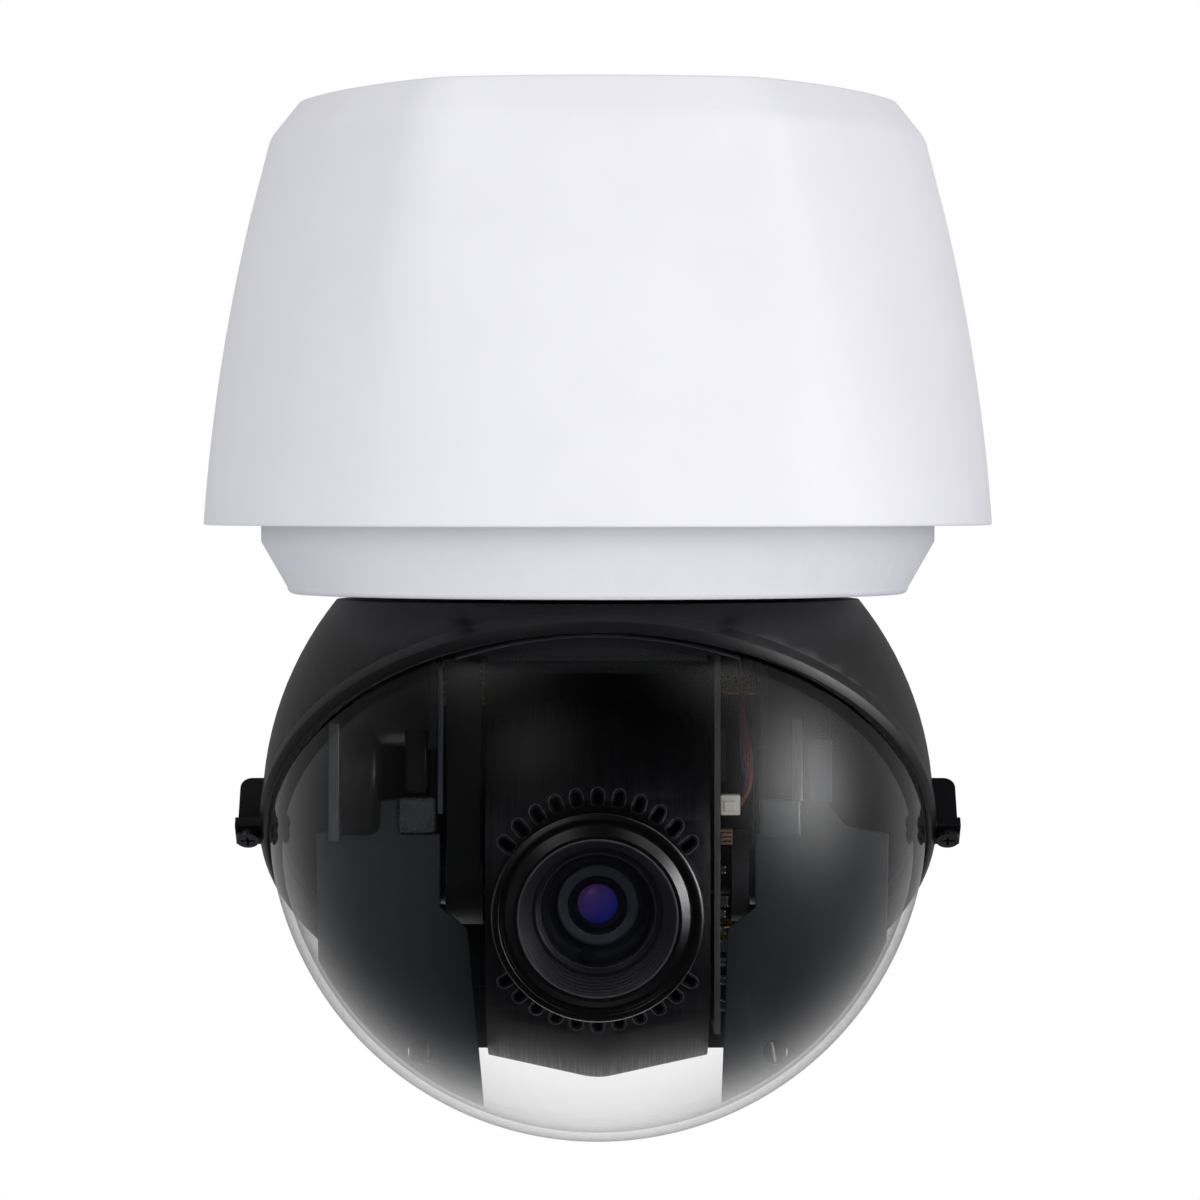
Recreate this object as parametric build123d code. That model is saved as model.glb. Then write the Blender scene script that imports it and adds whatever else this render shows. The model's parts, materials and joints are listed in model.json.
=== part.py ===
from build123d import *
import math
import os

# Pan-tilt-zoom dome camera that hangs from a pendant pipe.
# Frame: origin at the centre of the collar's top face, +Z up, the lens looks towards -Y, +X is
# its right-hand side as seen from the front. All sizes are in millimetres.

# ---- sun hood ----
HOOD_DROP = 2.0            # hood's top face below the collar's top face
HOOD_RIM_R = 82.0          # flat top out to here
HOOD_SHOULDER_R = 90.4
HOOD_SHOULDER_Z = -12.4
HOOD_MIDDLE_R = 102.1      # the flank is an arc through this point
HOOD_MIDDLE_Z = -67.2
HOOD_MOUTH_R = 108.0
HOOD_MOUTH_Z = -117.8
HOOD_WALL = 3.0
HOOD_HOLE_R = 42.0
HOOD_SCREW_R = 60.0        # radius of the circle of hood screws

# ---- collar ----
PIPE_R = 24.15             # socket for a 48.3 mm pendant pipe
PIPE_DEPTH = 30.0
COLLAR_FLANGE_R = 40.0
COLLAR_FLANGE = 5.0
COLLAR_TUBE_R = 30.0
COLLAR_LIP = 6.0
COLLAR_LIP_R = 18.0        # hole in the lip, where the cable gland sits
MOUNT_BOLT_CIRCLE_R = 34.0
MOUNT_BOLT_R = 2.65

# ---- base housing and its lower cover ----
HOUSING_TOP_R = 80.0
HOUSING_R = 92.0
HOUSING_STEP_Z = -60.0
HOUSING_STEP = 12.0
HOUSING_WALL = 4.0
HOUSING_FLANGE = 6.0
COVER_JOINT_Z = -112.0
GASKET = 1.5
COVER_CHAMFER_Z = -122.2
COVER_FOOT_R = 84.9
COVER_FOOT_Z = -134.6
BASE_BOTTOM_Z = -136.5
FLOOR = 4.5
COVER_SCREW_CIRCLE_R = 79.0
COVER_SCREWS = 6

# ---- pan drive ----
HUB_R = 30.0
HUB_WALL = 6.0
HUB_BORE_R = HUB_R - HUB_WALL
HUB_SCREW_OUT = 8.0        # hub screws' circle beyond the hub
HUB_SCREW_R = HUB_R + HUB_SCREW_OUT
HUB_FLANGE_OUT = 15.0      # hub's flange beyond the hub
HUB_FLANGE_R = HUB_R + HUB_FLANGE_OUT
HUB_FLANGE = 3.0
BEARING_SECTION = 9.0      # between the bearing's bore and its outside
BEARING_R = HUB_R + BEARING_SECTION
BEARING_WIDTH = 10.0
BEARING_RACE = 2.8
BALLS = 18
SEAT_WALL = 4.0
GEAR_MODULE = 0.8
GEAR_TEETH = 96
PINION_TEETH = 16
GEAR_WIDTH = 6.0
GEAR_LIFT = 4.0            # gear's web above the bearing
BACKLASH = 0.1             # added to the gears' centre distance
MOTOR_SIZE = 42.0
MOTOR_HEIGHT = 38.0
MOTOR_GAP = 2.0            # bracket above the gear
BRACKET = 2.0
PAN_SHAFT_R = 2.5
RUNNING = 0.05             # radial clearance of every running fit
SLIP_RING_R = 12.0
SLIP_ROTOR_R = 6.0
SLIP_RING_HEIGHT = 28.0

# ---- main board ----
BOARD = 1.6
MAIN_BOARD_R = 70.0
STANDOFF = 21.0
STANDOFF_R = 3.0

# ---- head: a sphere cut by the ring plane ----
HEAD_GAP = 1.5             # running gap below the base
HEAD_R = 91.8
HEAD_NECK_R = 71.4
SHELL = 2.5
BUBBLE = 2.5
BUBBLE_INSET = 1.1         # bubble's outside inside the shell's
BUBBLE_R = HEAD_R - BUBBLE_INSET
BUBBLE_TILT = 49.0         # degrees of the bubble's axis below the horizon
RING_FROM = 6.0            # ring's back edge, from the sphere's centre along that axis
RING_TO = 11.5
RING_BAND = 3.3
RING_PROUD = 0.5           # ring's outside beyond the shell's
RING_R = HEAD_R + RING_PROUD
SEAL_DEPTH = 2.0
SEAL_WIDTH = 2.7
LUG_OUT = 3.7              # screw axis of the side lugs beyond the shell
LUG_X = HEAD_R + LUG_OUT
LUG_HALF = 3.6
LUG_LENGTH = 14.0
EAR = 3.0

# ---- yoke ----
YOKE_SHEET = 2.0
YOKE_TOP = 2.5
ARM_X = 43.5               # inner face of each arm
ARM_FRONT = -11.5
ARM_BACK = 28.0
ARM_BELOW = 20.0           # arms' ends below the tilt axis
YOKE_HOLE_R = 20.0
PANEL = 1.5
PANEL_GAP = 2.2            # between a panel's round edge and the bubble
PANEL_R = BUBBLE_R - BUBBLE - PANEL_GAP

# ---- tilt axis and camera module, built with +Z forward and turned into place ----
TILT_DROP = 18.3           # tilt axis below the sphere's centre
REST_TILT = 5.5            # degrees that the lens looks down at rest
DRUM_R = 52.5
DRUM_EDGE_R = 46.0
DRUM_HALF = 29.8
DRUM_DROP = 3.0            # drum's centre below the tilt axis
DRUM_WALL = 2.0
CREASE = 4.0               # half width of the rounded middle crease
BEZEL_R = 27.9
BEZEL_MOUTH_R = 20.0
BEZEL_FRONT = 63.0
BEZEL_BACK = 53.0
BEZEL_ROUND = 3.0
VENT_IN = 25.7
VENT_OUT = 32.2
VENT_WIDTH = 2.2
VENT_STEP = 10.6
VENT_DROP = 2.0            # the arcs' centre below the lens axis
VENTS = 11
BARREL_R = 18.4
BARREL_WALL = 1.4
BARREL_BORE_R = BARREL_R - BARREL_WALL
BARREL_FRONT = 52.5
BARREL_LIP = 2.4           # the lip that holds the front lens
BLOCK_HALF_X = 24.0
BLOCK_HALF_Y = 25.0
BLOCK_BACK = -34.0
BLOCK_FRONT = 18.0
BLOCK_WALL = 1.5
TRUNNION_R = 5.0
BEARING_OUT_R = 8.0
FRAME_SHEET = 2.0
ROD_R = 1.25
ROD_IN = 2.4               # rod axis inside the barrel's bore
ROD_X = BARREL_BORE_R - ROD_IN
CARRIAGE_INSET = 1.6       # carriage rim inside the rods' axes
CARRIAGE_R = ROD_X - CARRIAGE_INSET
CARRIAGE = 8.0
ZOOM_AT = 2.0
FOCUS_AT = -20.0
FOCUS_CARRIAGE = 6.0
CORE_AT = 38.0
CORE_SCREW_X = -2.8
CORE_SCREW_IN = 3.4        # core screw's axis inside the barrel's bore

# ---- tilt belt ----
BELT_PITCH = 2.0
BIG_TEETH = 40
SMALL_TEETH = 16
BELT_LEFT = -41.0
BELT_RIGHT = -31.8
BELT_BACK = 0.6            # belt's back beyond the pitch line
BELT_FLANGE = 0.4
TILT_MOTOR_Z = -160.5
TILT_MOTOR_R = 17.5
TILT_MOTOR_LENGTH = 20.5
TILT_SHAFT_R = 2.0

# ---- places worked out from the sizes above ----
HOOD_TOP_Z = -HOOD_DROP
PLATE_TOP_Z = -COLLAR_FLANGE
PLATE_BOTTOM_Z = PLATE_TOP_Z - HOUSING_WALL
COVER_TOP_Z = COVER_JOINT_Z - GASKET
FLOOR_Z = BASE_BOTTOM_Z + FLOOR
BEARING_TOP_Z = FLOOR_Z + BEARING_WIDTH
GEAR_Z = BEARING_TOP_Z + GEAR_LIFT
GEAR_TOP_Z = GEAR_Z + GEAR_WIDTH
BRACKET_Z = GEAR_TOP_Z + MOTOR_GAP
MOTOR_Z = BRACKET_Z + BRACKET
MOTOR_Y = GEAR_MODULE * (GEAR_TEETH + PINION_TEETH) / 2 + BACKLASH
HEAD_TOP_Z = BASE_BOTTOM_Z - HEAD_GAP
SPHERE_Z = HEAD_TOP_Z - math.sqrt(HEAD_R**2 - HEAD_NECK_R**2)
TILT_Z = SPHERE_Z - TILT_DROP
ARM_BOTTOM_Z = TILT_Z - ARM_BELOW
HUB_FLANGE_Z = HEAD_TOP_Z - SHELL - HUB_FLANGE
YOKE_Z = HUB_FLANGE_Z - YOKE_TOP
BIG_PITCH_R = BIG_TEETH * BELT_PITCH / math.tau
SMALL_PITCH_R = SMALL_TEETH * BELT_PITCH / math.tau
TILT_MOTOR_Y = SMALL_PITCH_R - BIG_PITCH_R      # the belt's front run is then upright
PULLEY_STEP = 0.3          # pulleys' plain rims below the pitch line
BEARING_X = ARM_X - 2.0
BOARD_X = DRUM_HALF + 1.8

RING = Plane(
    origin=(0, 0, SPHERE_Z),
    x_dir=(1, 0, 0),
    z_dir=(0, -math.cos(math.radians(BUBBLE_TILT)), -math.sin(math.radians(BUBBLE_TILT))),
).location
LENS = Pos(0, 0, TILT_Z) * Rot(90 + REST_TILT, 0, 0)


# ---- helpers ----
def tube(outer, inner, low, high):
    """A ring about Z between two heights; inner may be 0."""
    body = Pos(0, 0, low) * Cylinder(outer, high - low, align=(Align.CENTER, Align.CENTER, Align.MIN))
    if inner > 0:
        cutter = Cylinder(inner, high - low + 2, align=(Align.CENTER, Align.CENTER, Align.MIN))
        body -= Pos(0, 0, low - 1) * cutter
    return body


def tube_x(outer, inner, left, right, y=0.0, z=0.0):
    """The same ring about a line along X."""
    return Pos(0, y, z) * Rot(0, 90, 0) * tube(outer, inner, left, right)


def block(x0, x1, y0, y1, z0, z1):
    """A box between its low and high corners."""
    return Pos((x0 + x1) / 2, (y0 + y1) / 2, (z0 + z1) / 2) * Box(x1 - x0, y1 - y0, z1 - z0)


def lathe(*edges):
    """A solid turned about Z from a closed outline of edges given as (radius, height)."""
    outline = Wire([edge for part in edges for edge in part.edges()])
    return revolve(Plane.XZ * make_face(outline), Axis.Z)


def turned(points):
    """A solid turned about Z from a closed outline with straight sides."""
    return revolve(Plane.XZ * make_face(Polyline(*points, close=True)), Axis.Z)


def around(count, radius, start=0.0):
    """Places on a circle about Z."""
    for index in range(count):
        angle = math.radians(start + 360 * index / count)
        yield radius * math.cos(angle), radius * math.sin(angle)


def screw(head_r, head, shank_r, length):
    """A cross-recessed screw: the head's top at Z = head, the shank down from Z = 0."""
    body = tube(head_r, 0, 0, head) + tube(shank_r, 0, -length, 0)
    slot = head_r * 1.2
    for turn in (0, 90):
        body -= Rot(0, 0, turn) * block(-slot / 2, slot / 2, -0.35, 0.35, head * 0.45, head + 1)
    return body


def gear(teeth, bore, low, high, turn=0.0):
    """A spur gear with straight-sided teeth, thinned for backlash."""
    pitch_r = GEAR_MODULE * teeth / 2
    top_r = pitch_r + 0.8 * GEAR_MODULE
    root_r = pitch_r - 1.1 * GEAR_MODULE
    step = math.tau / teeth
    points = []
    for index in range(teeth):
        middle = index * step + math.radians(turn)
        for radius, share in ((root_r, -0.31), (top_r, -0.13), (top_r, 0.13), (root_r, 0.31)):
            angle = middle + share * step
            points.append((radius * math.cos(angle), radius * math.sin(angle)))
    body = Pos(0, 0, low) * extrude(make_face(Polyline(*points, close=True)), high - low)
    return body - tube(bore, 0, low - 1, high + 1) if bore else body


def belt_face(small_r, big_r):
    """The face inside a loop round both pulleys, in the plane of Y and Z."""
    span_y, span_z = TILT_MOTOR_Y, TILT_MOTOR_Z - TILT_Z
    span = math.hypot(span_y, span_z)
    unit = (span_y / span, span_z / span)
    lean = math.acos((big_r - small_r) / span)
    sides = []
    for sign in (1, -1):
        cos, sin = math.cos(sign * lean), math.sin(sign * lean)
        sides.append((unit[0] * cos - unit[1] * sin, unit[0] * sin + unit[1] * cos))
    small = [(span_y + small_r * y, span_z + small_r * z) for y, z in sides]
    big = [(big_r * y, big_r * z) for y, z in sides]
    small_far = (span_y + small_r * unit[0], span_z + small_r * unit[1])
    big_far = (-big_r * unit[0], -big_r * unit[1])
    loop = [
        ThreePointArc(small[0], small_far, small[1]),
        Line(small[1], big[1]),
        ThreePointArc(big[1], big_far, big[0]),
        Line(big[0], small[0]),
    ]
    return make_face(Wire([edge for part in loop for edge in part.edges()])), big, small


# ---- base: hood, collar, housing ----
def sun_hood():
    wall = HOOD_WALL
    outer = [
        Polyline((HOOD_HOLE_R, HOOD_TOP_Z), (HOOD_RIM_R, HOOD_TOP_Z), (HOOD_SHOULDER_R, HOOD_SHOULDER_Z)),
        ThreePointArc(
            (HOOD_SHOULDER_R, HOOD_SHOULDER_Z),
            (HOOD_MIDDLE_R, HOOD_MIDDLE_Z),
            (HOOD_MOUTH_R, HOOD_MOUTH_Z),
        ),
        Line((HOOD_MOUTH_R, HOOD_MOUTH_Z), (HOOD_MOUTH_R - wall, HOOD_MOUTH_Z)),
        ThreePointArc(
            (HOOD_MOUTH_R - wall, HOOD_MOUTH_Z),
            (HOOD_MIDDLE_R - wall, HOOD_MIDDLE_Z),
            (HOOD_SHOULDER_R - wall, HOOD_SHOULDER_Z - wall / 2),
        ),
        Polyline(
            (HOOD_SHOULDER_R - wall, HOOD_SHOULDER_Z - wall / 2),
            (HOOD_RIM_R - wall / 2, HOOD_TOP_Z - wall),
            (HOOD_HOLE_R, HOOD_TOP_Z - wall),
            (HOOD_HOLE_R, HOOD_TOP_Z),
        ),
    ]
    body = lathe(*outer)
    for x, y in around(4, HOOD_SCREW_R, 45):
        body -= Pos(x, y, 0) * tube(2.2, 0, HOOD_TOP_Z - wall - 1, HOOD_TOP_Z + 1)
    return body


def hood_screws():
    one = screw(3.8, 1.8, 2.0, HOOD_WALL + HOUSING_WALL - 0.5)
    return [Pos(x, y, HOOD_TOP_Z) * one for x, y in around(4, HOOD_SCREW_R, 45)]


def mount_collar():
    low = -PIPE_DEPTH
    body = tube(COLLAR_FLANGE_R, 0, PLATE_TOP_Z, 0) + tube(COLLAR_TUBE_R, 0, low - COLLAR_LIP, 0)
    body -= tube(PIPE_R, 0, low, 1)
    body -= tube(COLLAR_LIP_R, 0, low - COLLAR_LIP - 1, low + 1)
    for x, y in around(4, MOUNT_BOLT_CIRCLE_R):
        body -= Pos(x, y, 0) * tube(MOUNT_BOLT_R, 0, PLATE_TOP_Z - 1, 1)
    for x, y in around(4, MOUNT_BOLT_CIRCLE_R, 45):
        body -= Pos(x, y, 0) * (tube(2.1, 0, PLATE_TOP_Z - 1, 1) + tube(3.6, 0, -2.0, 1))
    return body


def collar_screws():
    one = screw(3.4, 1.8, 2.0, COLLAR_FLANGE + HOUSING_WALL - 2.5)
    return [Pos(x, y, -2.0) * one for x, y in around(4, MOUNT_BOLT_CIRCLE_R, 45)]


def cable_gland():
    low = -PIPE_DEPTH - COLLAR_LIP
    body = tube(COLLAR_LIP_R, 6.0, low, low + COLLAR_LIP) + tube(COLLAR_LIP_R + 3, 6.0, low - 4, low)
    return body + tube(11.0, 6.0, low - 10, low - 4)


def base_housing():
    top, step = HOUSING_TOP_R, HOUSING_STEP_Z
    body = turned([
        (COLLAR_TUBE_R + 0.2, PLATE_TOP_Z), (top - 2, PLATE_TOP_Z), (top, PLATE_TOP_Z - 2), (top, step),
        (HOUSING_R, step - HOUSING_STEP), (HOUSING_R, COVER_JOINT_Z),
        (HOUSING_R - HOUSING_FLANGE, COVER_JOINT_Z),
        (HOUSING_R - HOUSING_FLANGE, step - HOUSING_STEP - 2), (top - HOUSING_WALL, step - 2),
        (top - HOUSING_WALL, PLATE_BOTTOM_Z), (COLLAR_TUBE_R + 0.2, PLATE_BOTTOM_Z),
    ])
    for x, y in around(COVER_SCREWS, COVER_SCREW_CIRCLE_R):
        body += Pos(x, y, 0) * tube(7.5, 0, COVER_JOINT_Z, COVER_JOINT_Z + 14)
    for x, y in around(COVER_SCREWS, COVER_SCREW_CIRCLE_R):
        body -= Pos(x, y, 0) * tube(2.0, 0, COVER_JOINT_Z - 1, COVER_JOINT_Z + 10)
    for x, y in around(4, HOOD_SCREW_R, 45):
        body -= Pos(x, y, 0) * tube(2.0, 0, PLATE_BOTTOM_Z - 1, PLATE_TOP_Z + 1)
    for x, y in around(4, MOUNT_BOLT_CIRCLE_R, 45):
        body -= Pos(x, y, 0) * tube(2.0, 0, PLATE_BOTTOM_Z - 1, PLATE_TOP_Z + 1)
    for x, y in around(4, MOUNT_BOLT_CIRCLE_R):
        body -= Pos(x, y, 0) * tube(MOUNT_BOLT_R, 0, PLATE_BOTTOM_Z - 1, PLATE_TOP_Z + 1)
    return body


def cover_gasket():
    body = tube(HOUSING_R - 0.5, HOUSING_R - HOUSING_FLANGE, COVER_TOP_Z, COVER_JOINT_Z)
    for x, y in around(COVER_SCREWS, COVER_SCREW_CIRCLE_R):
        body += Pos(x, y, 0) * tube(5.0, 0, COVER_TOP_Z, COVER_JOINT_Z)
        body += Rot(0, 0, math.degrees(math.atan2(y, x))) * block(
            COVER_SCREW_CIRCLE_R, HOUSING_R - 2, -2.0, 2.0, COVER_TOP_Z, COVER_JOINT_Z
        )
    for x, y in around(COVER_SCREWS, COVER_SCREW_CIRCLE_R):
        body -= Pos(x, y, 0) * tube(2.15, 0, COVER_TOP_Z - 1, COVER_JOINT_Z + 1)
    return body


def base_cover():
    wall = HOUSING_WALL
    round_r = 1.9
    outline = [
        Polyline(
            (HUB_R + 3, BASE_BOTTOM_Z), (HUB_R + 3, FLOOR_Z), (COVER_FOOT_R - wall, FLOOR_Z),
            (HOUSING_R - wall, COVER_CHAMFER_Z), (HOUSING_R - wall, COVER_TOP_Z), (HOUSING_R, COVER_TOP_Z),
            (HOUSING_R, COVER_CHAMFER_Z), (COVER_FOOT_R, COVER_FOOT_Z),
        ),
        ThreePointArc(
            (COVER_FOOT_R, COVER_FOOT_Z),
            (COVER_FOOT_R - 0.5 * round_r + 0.25, BASE_BOTTOM_Z + 0.45),
            (COVER_FOOT_R - round_r, BASE_BOTTOM_Z),
        ),
        Line((COVER_FOOT_R - round_r, BASE_BOTTOM_Z), (HUB_R + 3, BASE_BOTTOM_Z)),
    ]
    body = lathe(*outline) + tube(BEARING_R + SEAT_WALL, BEARING_R, FLOOR_Z, BEARING_TOP_Z + 1)
    for x, y in around(COVER_SCREWS, COVER_SCREW_CIRCLE_R):
        body += Pos(x, y, 0) * tube(5.0, 0, FLOOR_Z, COVER_TOP_Z)
    for x, y in around(COVER_SCREWS, COVER_SCREW_CIRCLE_R):
        body -= Pos(x, y, 0) * tube(2.15, 0, BASE_BOTTOM_Z - 1, COVER_TOP_Z + 1)
        body -= Pos(x, y, 0) * tube(3.7, 0, BASE_BOTTOM_Z - 1, BASE_BOTTOM_Z + 2.5)
    return body


def cover_screws():
    head_z = BASE_BOTTOM_Z + 2.5
    one = Rot(180, 0, 0) * screw(3.5, 2.2, 2.0, COVER_JOINT_Z + 9 - head_z)
    return [Pos(x, y, head_z) * one for x, y in around(COVER_SCREWS, COVER_SCREW_CIRCLE_R)]


# ---- base: pan drive and boards ----
def bearing_outer_ring():
    middle = FLOOR_Z + BEARING_WIDTH / 2
    body = tube(BEARING_R, BEARING_R - BEARING_RACE, FLOOR_Z, BEARING_TOP_Z)
    return body - Pos(0, 0, middle) * Torus((HUB_R + BEARING_R) / 2, ball_r() + RUNNING)


def bearing_inner_ring():
    middle = FLOOR_Z + BEARING_WIDTH / 2
    body = tube(HUB_R + BEARING_RACE, HUB_R, FLOOR_Z + 0.2, BEARING_TOP_Z)
    return body - Pos(0, 0, middle) * Torus((HUB_R + BEARING_R) / 2, ball_r() + RUNNING)


def ball_r():
    return (BEARING_R - HUB_R) / 2 - BEARING_RACE + 0.6


def bearing_balls():
    middle = FLOOR_Z + BEARING_WIDTH / 2
    return [Pos(x, y, middle) * Sphere(ball_r()) for x, y in around(BALLS, (HUB_R + BEARING_R) / 2)]


def pan_seal():
    return tube(HUB_R + 3, HUB_R + 0.3, BASE_BOTTOM_Z + 0.3, FLOOR_Z - 1)


def pan_motor():
    body = Pos(0, MOTOR_Y, MOTOR_Z) * extrude(chamfered_square(MOTOR_SIZE, 5.0), MOTOR_HEIGHT)
    body += Pos(0, MOTOR_Y, 0) * tube(11.0, 0, BRACKET_Z, MOTOR_Z)
    return body - Pos(0, MOTOR_Y, 0) * tube(PAN_SHAFT_R + RUNNING, 0, BRACKET_Z - 1, MOTOR_Z + 30.2)


def chamfered_square(size, corner):
    square = Rectangle(size, size)
    return chamfer(square.vertices(), corner)


def motor_bracket():
    reach_x, front, back = 31.0, 24.0 - MOTOR_SIZE, MOTOR_Y + MOTOR_SIZE / 2 + 3
    leg_r = 3.5
    seat_r = BEARING_R + SEAT_WALL + leg_r + 0.8
    leg_x = reach_x - leg_r
    leg_y = math.sqrt(seat_r**2 - leg_x**2)
    body = block(-reach_x, reach_x, HUB_BORE_R - 4, back, BRACKET_Z, MOTOR_Z)
    body += block(-15, 15, front, HUB_BORE_R, BRACKET_Z, MOTOR_Z)
    body -= Pos(0, MOTOR_Y, 0) * tube(11.0, 0, BRACKET_Z - 1, MOTOR_Z + 1)
    body -= tube(SLIP_ROTOR_R + 2, 0, BRACKET_Z - 1, MOTOR_Z + 1)
    for x in (-leg_x, leg_x):
        for y in (leg_y, back - leg_r):
            body += Pos(x, y, 0) * tube(leg_r, 0, FLOOR_Z, BRACKET_Z)
    return body


def slip_ring_stator():
    body = tube(SLIP_RING_R, 0, MOTOR_Z, MOTOR_Z + SLIP_RING_HEIGHT) + tube(14.5, 0, MOTOR_Z, MOTOR_Z + 2)
    return body - tube(SLIP_ROTOR_R + RUNNING, 0, MOTOR_Z - 1, MOTOR_Z + SLIP_RING_HEIGHT - 2)


def main_board():
    top = PLATE_BOTTOM_Z - STANDOFF
    body = tube(MAIN_BOARD_R, COLLAR_TUBE_R + 4, top - BOARD, top)
    for x, y in around(4, HOOD_SCREW_R, 0):
        body -= Pos(x, y, 0) * tube(1.6, 0, top - BOARD - 1, top + 1)
    return body


def board_standoffs():
    low = PLATE_BOTTOM_Z - STANDOFF
    return [Pos(x, y, 0) * tube(STANDOFF_R, 0, low, PLATE_BOTTOM_Z) for x, y in around(4, HOOD_SCREW_R, 0)]


def main_board_parts():
    face = PLATE_BOTTOM_Z - STANDOFF - BOARD
    parts = [
        block(-8, 8, -58, -42, face - 2.2, face),
        block(18, 28, -56, -46, face - 1.6, face),
        block(-34, -24, -54, -40, face - 11, face),
        block(-60, -46, -8, 8, face - 13, face),
        block(46, 62, -6, 8, face - 12, face),
        block(-12, 12, 44, 60, face - 14, face),
    ]
    for x, y in ((30, 38), (42, 28), (-30, 40), (-42, 30)):
        parts.append(Pos(x, y, 0) * tube(5.0, 0, face - 14, face))
    return parts


# ---- head: everything that pans ----
def pan_hub():
    body = tube(HUB_R, HUB_BORE_R, HUB_FLANGE_Z, GEAR_TOP_Z)
    body += tube(HUB_FLANGE_R, HUB_BORE_R, HUB_FLANGE_Z, HUB_FLANGE_Z + HUB_FLANGE)
    for x, y in around(6, HUB_SCREW_R):
        body -= Pos(x, y, 0) * tube(1.6, 0, HUB_FLANGE_Z - 1, HUB_FLANGE_Z + HUB_FLANGE + 1)
    return body


def hub_screws():
    one = Rot(180, 0, 0) * screw(2.9, 1.8, 1.5, YOKE_TOP + HUB_FLANGE + SHELL - 0.5)
    return [Pos(x, y, YOKE_Z) * one for x, y in around(6, HUB_SCREW_R)]


def pan_gear():
    body = gear(GEAR_TEETH, HUB_R, GEAR_Z, GEAR_TOP_Z)
    return body + tube(HUB_R + BEARING_RACE, HUB_R, BEARING_TOP_Z, GEAR_Z)


def pan_pinion():
    # The gear has a tooth on the line of centres' far side, so the pinion shows it a gap.
    body = gear(PINION_TEETH, 0, GEAR_Z, GEAR_TOP_Z, -90 + 180 / PINION_TEETH)
    return Pos(0, MOTOR_Y, 0) * (body + tube(PAN_SHAFT_R, 0, GEAR_Z, MOTOR_Z + 30))


def slip_ring_rotor():
    disc_z = HUB_FLANGE_Z + 14
    body = tube(SLIP_ROTOR_R, 0, disc_z, MOTOR_Z + SLIP_RING_HEIGHT - 3)
    return body + tube(HUB_BORE_R, 0, disc_z, disc_z + 3)


def sphere_cap(radius, top_z):
    ball = Pos(0, 0, SPHERE_Z) * Sphere(radius)
    return ball - block(-radius - 1, radius + 1, -radius - 1, radius + 1, top_z, SPHERE_Z + radius + 1)


def head_shell():
    far = 2 * HEAD_R
    body = sphere_cap(HEAD_R, HEAD_TOP_Z) - sphere_cap(HEAD_R - SHELL, HEAD_TOP_Z - SHELL)
    body -= RING * block(-far, far, -far, far, RING_FROM, far)
    lip = tube(seal_outer(), seal_outer() - SEAL_WIDTH, RING_FROM - 3, RING_FROM)
    body += RING * lip
    for side in (-1, 1):
        lug = block(LUG_X - 5.5, LUG_X + 2.6, -LUG_HALF, LUG_HALF, RING_FROM - LUG_LENGTH, RING_FROM)
        lug -= Sphere(HEAD_R - SHELL / 2)
        lug -= Pos(LUG_X, 0, 0) * tube(1.5, 0, RING_FROM - 10, RING_FROM + 1)
        body += RING * Rot(0, 0, 0 if side > 0 else 180) * lug
    body -= tube(HUB_R, 0, HEAD_TOP_Z - SHELL - 1, HEAD_TOP_Z + 1)
    for x, y in around(6, HUB_SCREW_R):
        body -= Pos(x, y, 0) * tube(1.5, 0, HEAD_TOP_Z - SHELL - 1, HEAD_TOP_Z + 1)
    return body


def seal_outer():
    return math.sqrt((HEAD_R - SHELL) ** 2 - RING_FROM**2) + 0.4


def bubble_gasket():
    return RING * tube(seal_outer(), seal_outer() - SEAL_WIDTH, RING_FROM, RING_FROM + SEAL_DEPTH)


def dome_bubble():
    far = 2 * BUBBLE_R
    body = Sphere(BUBBLE_R) - Sphere(BUBBLE_R - BUBBLE)
    return RING * (body - block(-far, far, -far, far, -far, RING_FROM + SEAL_DEPTH))


def ring_inner(offset):
    """Radius at which the ring clears the bubble, at a distance along the bubble's axis."""
    return math.sqrt(BUBBLE_R**2 - offset**2) + 0.15


def bubble_ring():
    seat = RING_FROM + SEAL_DEPTH
    body = turned([
        (seal_outer() + 0.05, RING_FROM), (RING_R, RING_FROM), (RING_R, RING_FROM + RING_BAND),
        (ring_inner(RING_TO) + 0.8, RING_TO), (ring_inner(RING_TO), RING_TO),
        (ring_inner(seat), seat), (seal_outer() + 0.05, seat),
    ])
    for side in (0, 180):
        ear = block(RING_R - 1.2, LUG_X + 3.4, -LUG_HALF - 0.6, LUG_HALF + 0.6, RING_FROM, RING_FROM + EAR)
        ear -= Pos(LUG_X, 0, 0) * tube(1.6, 0, RING_FROM - 1, RING_FROM + EAR + 1)
        body += Rot(0, 0, side) * ear
    return RING * body


def ring_screws():
    one = screw(3.1, 2.0, 1.5, EAR + 9)
    return [RING * Pos(side * LUG_X, 0, RING_FROM + EAR) * one for side in (-1, 1)]


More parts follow.
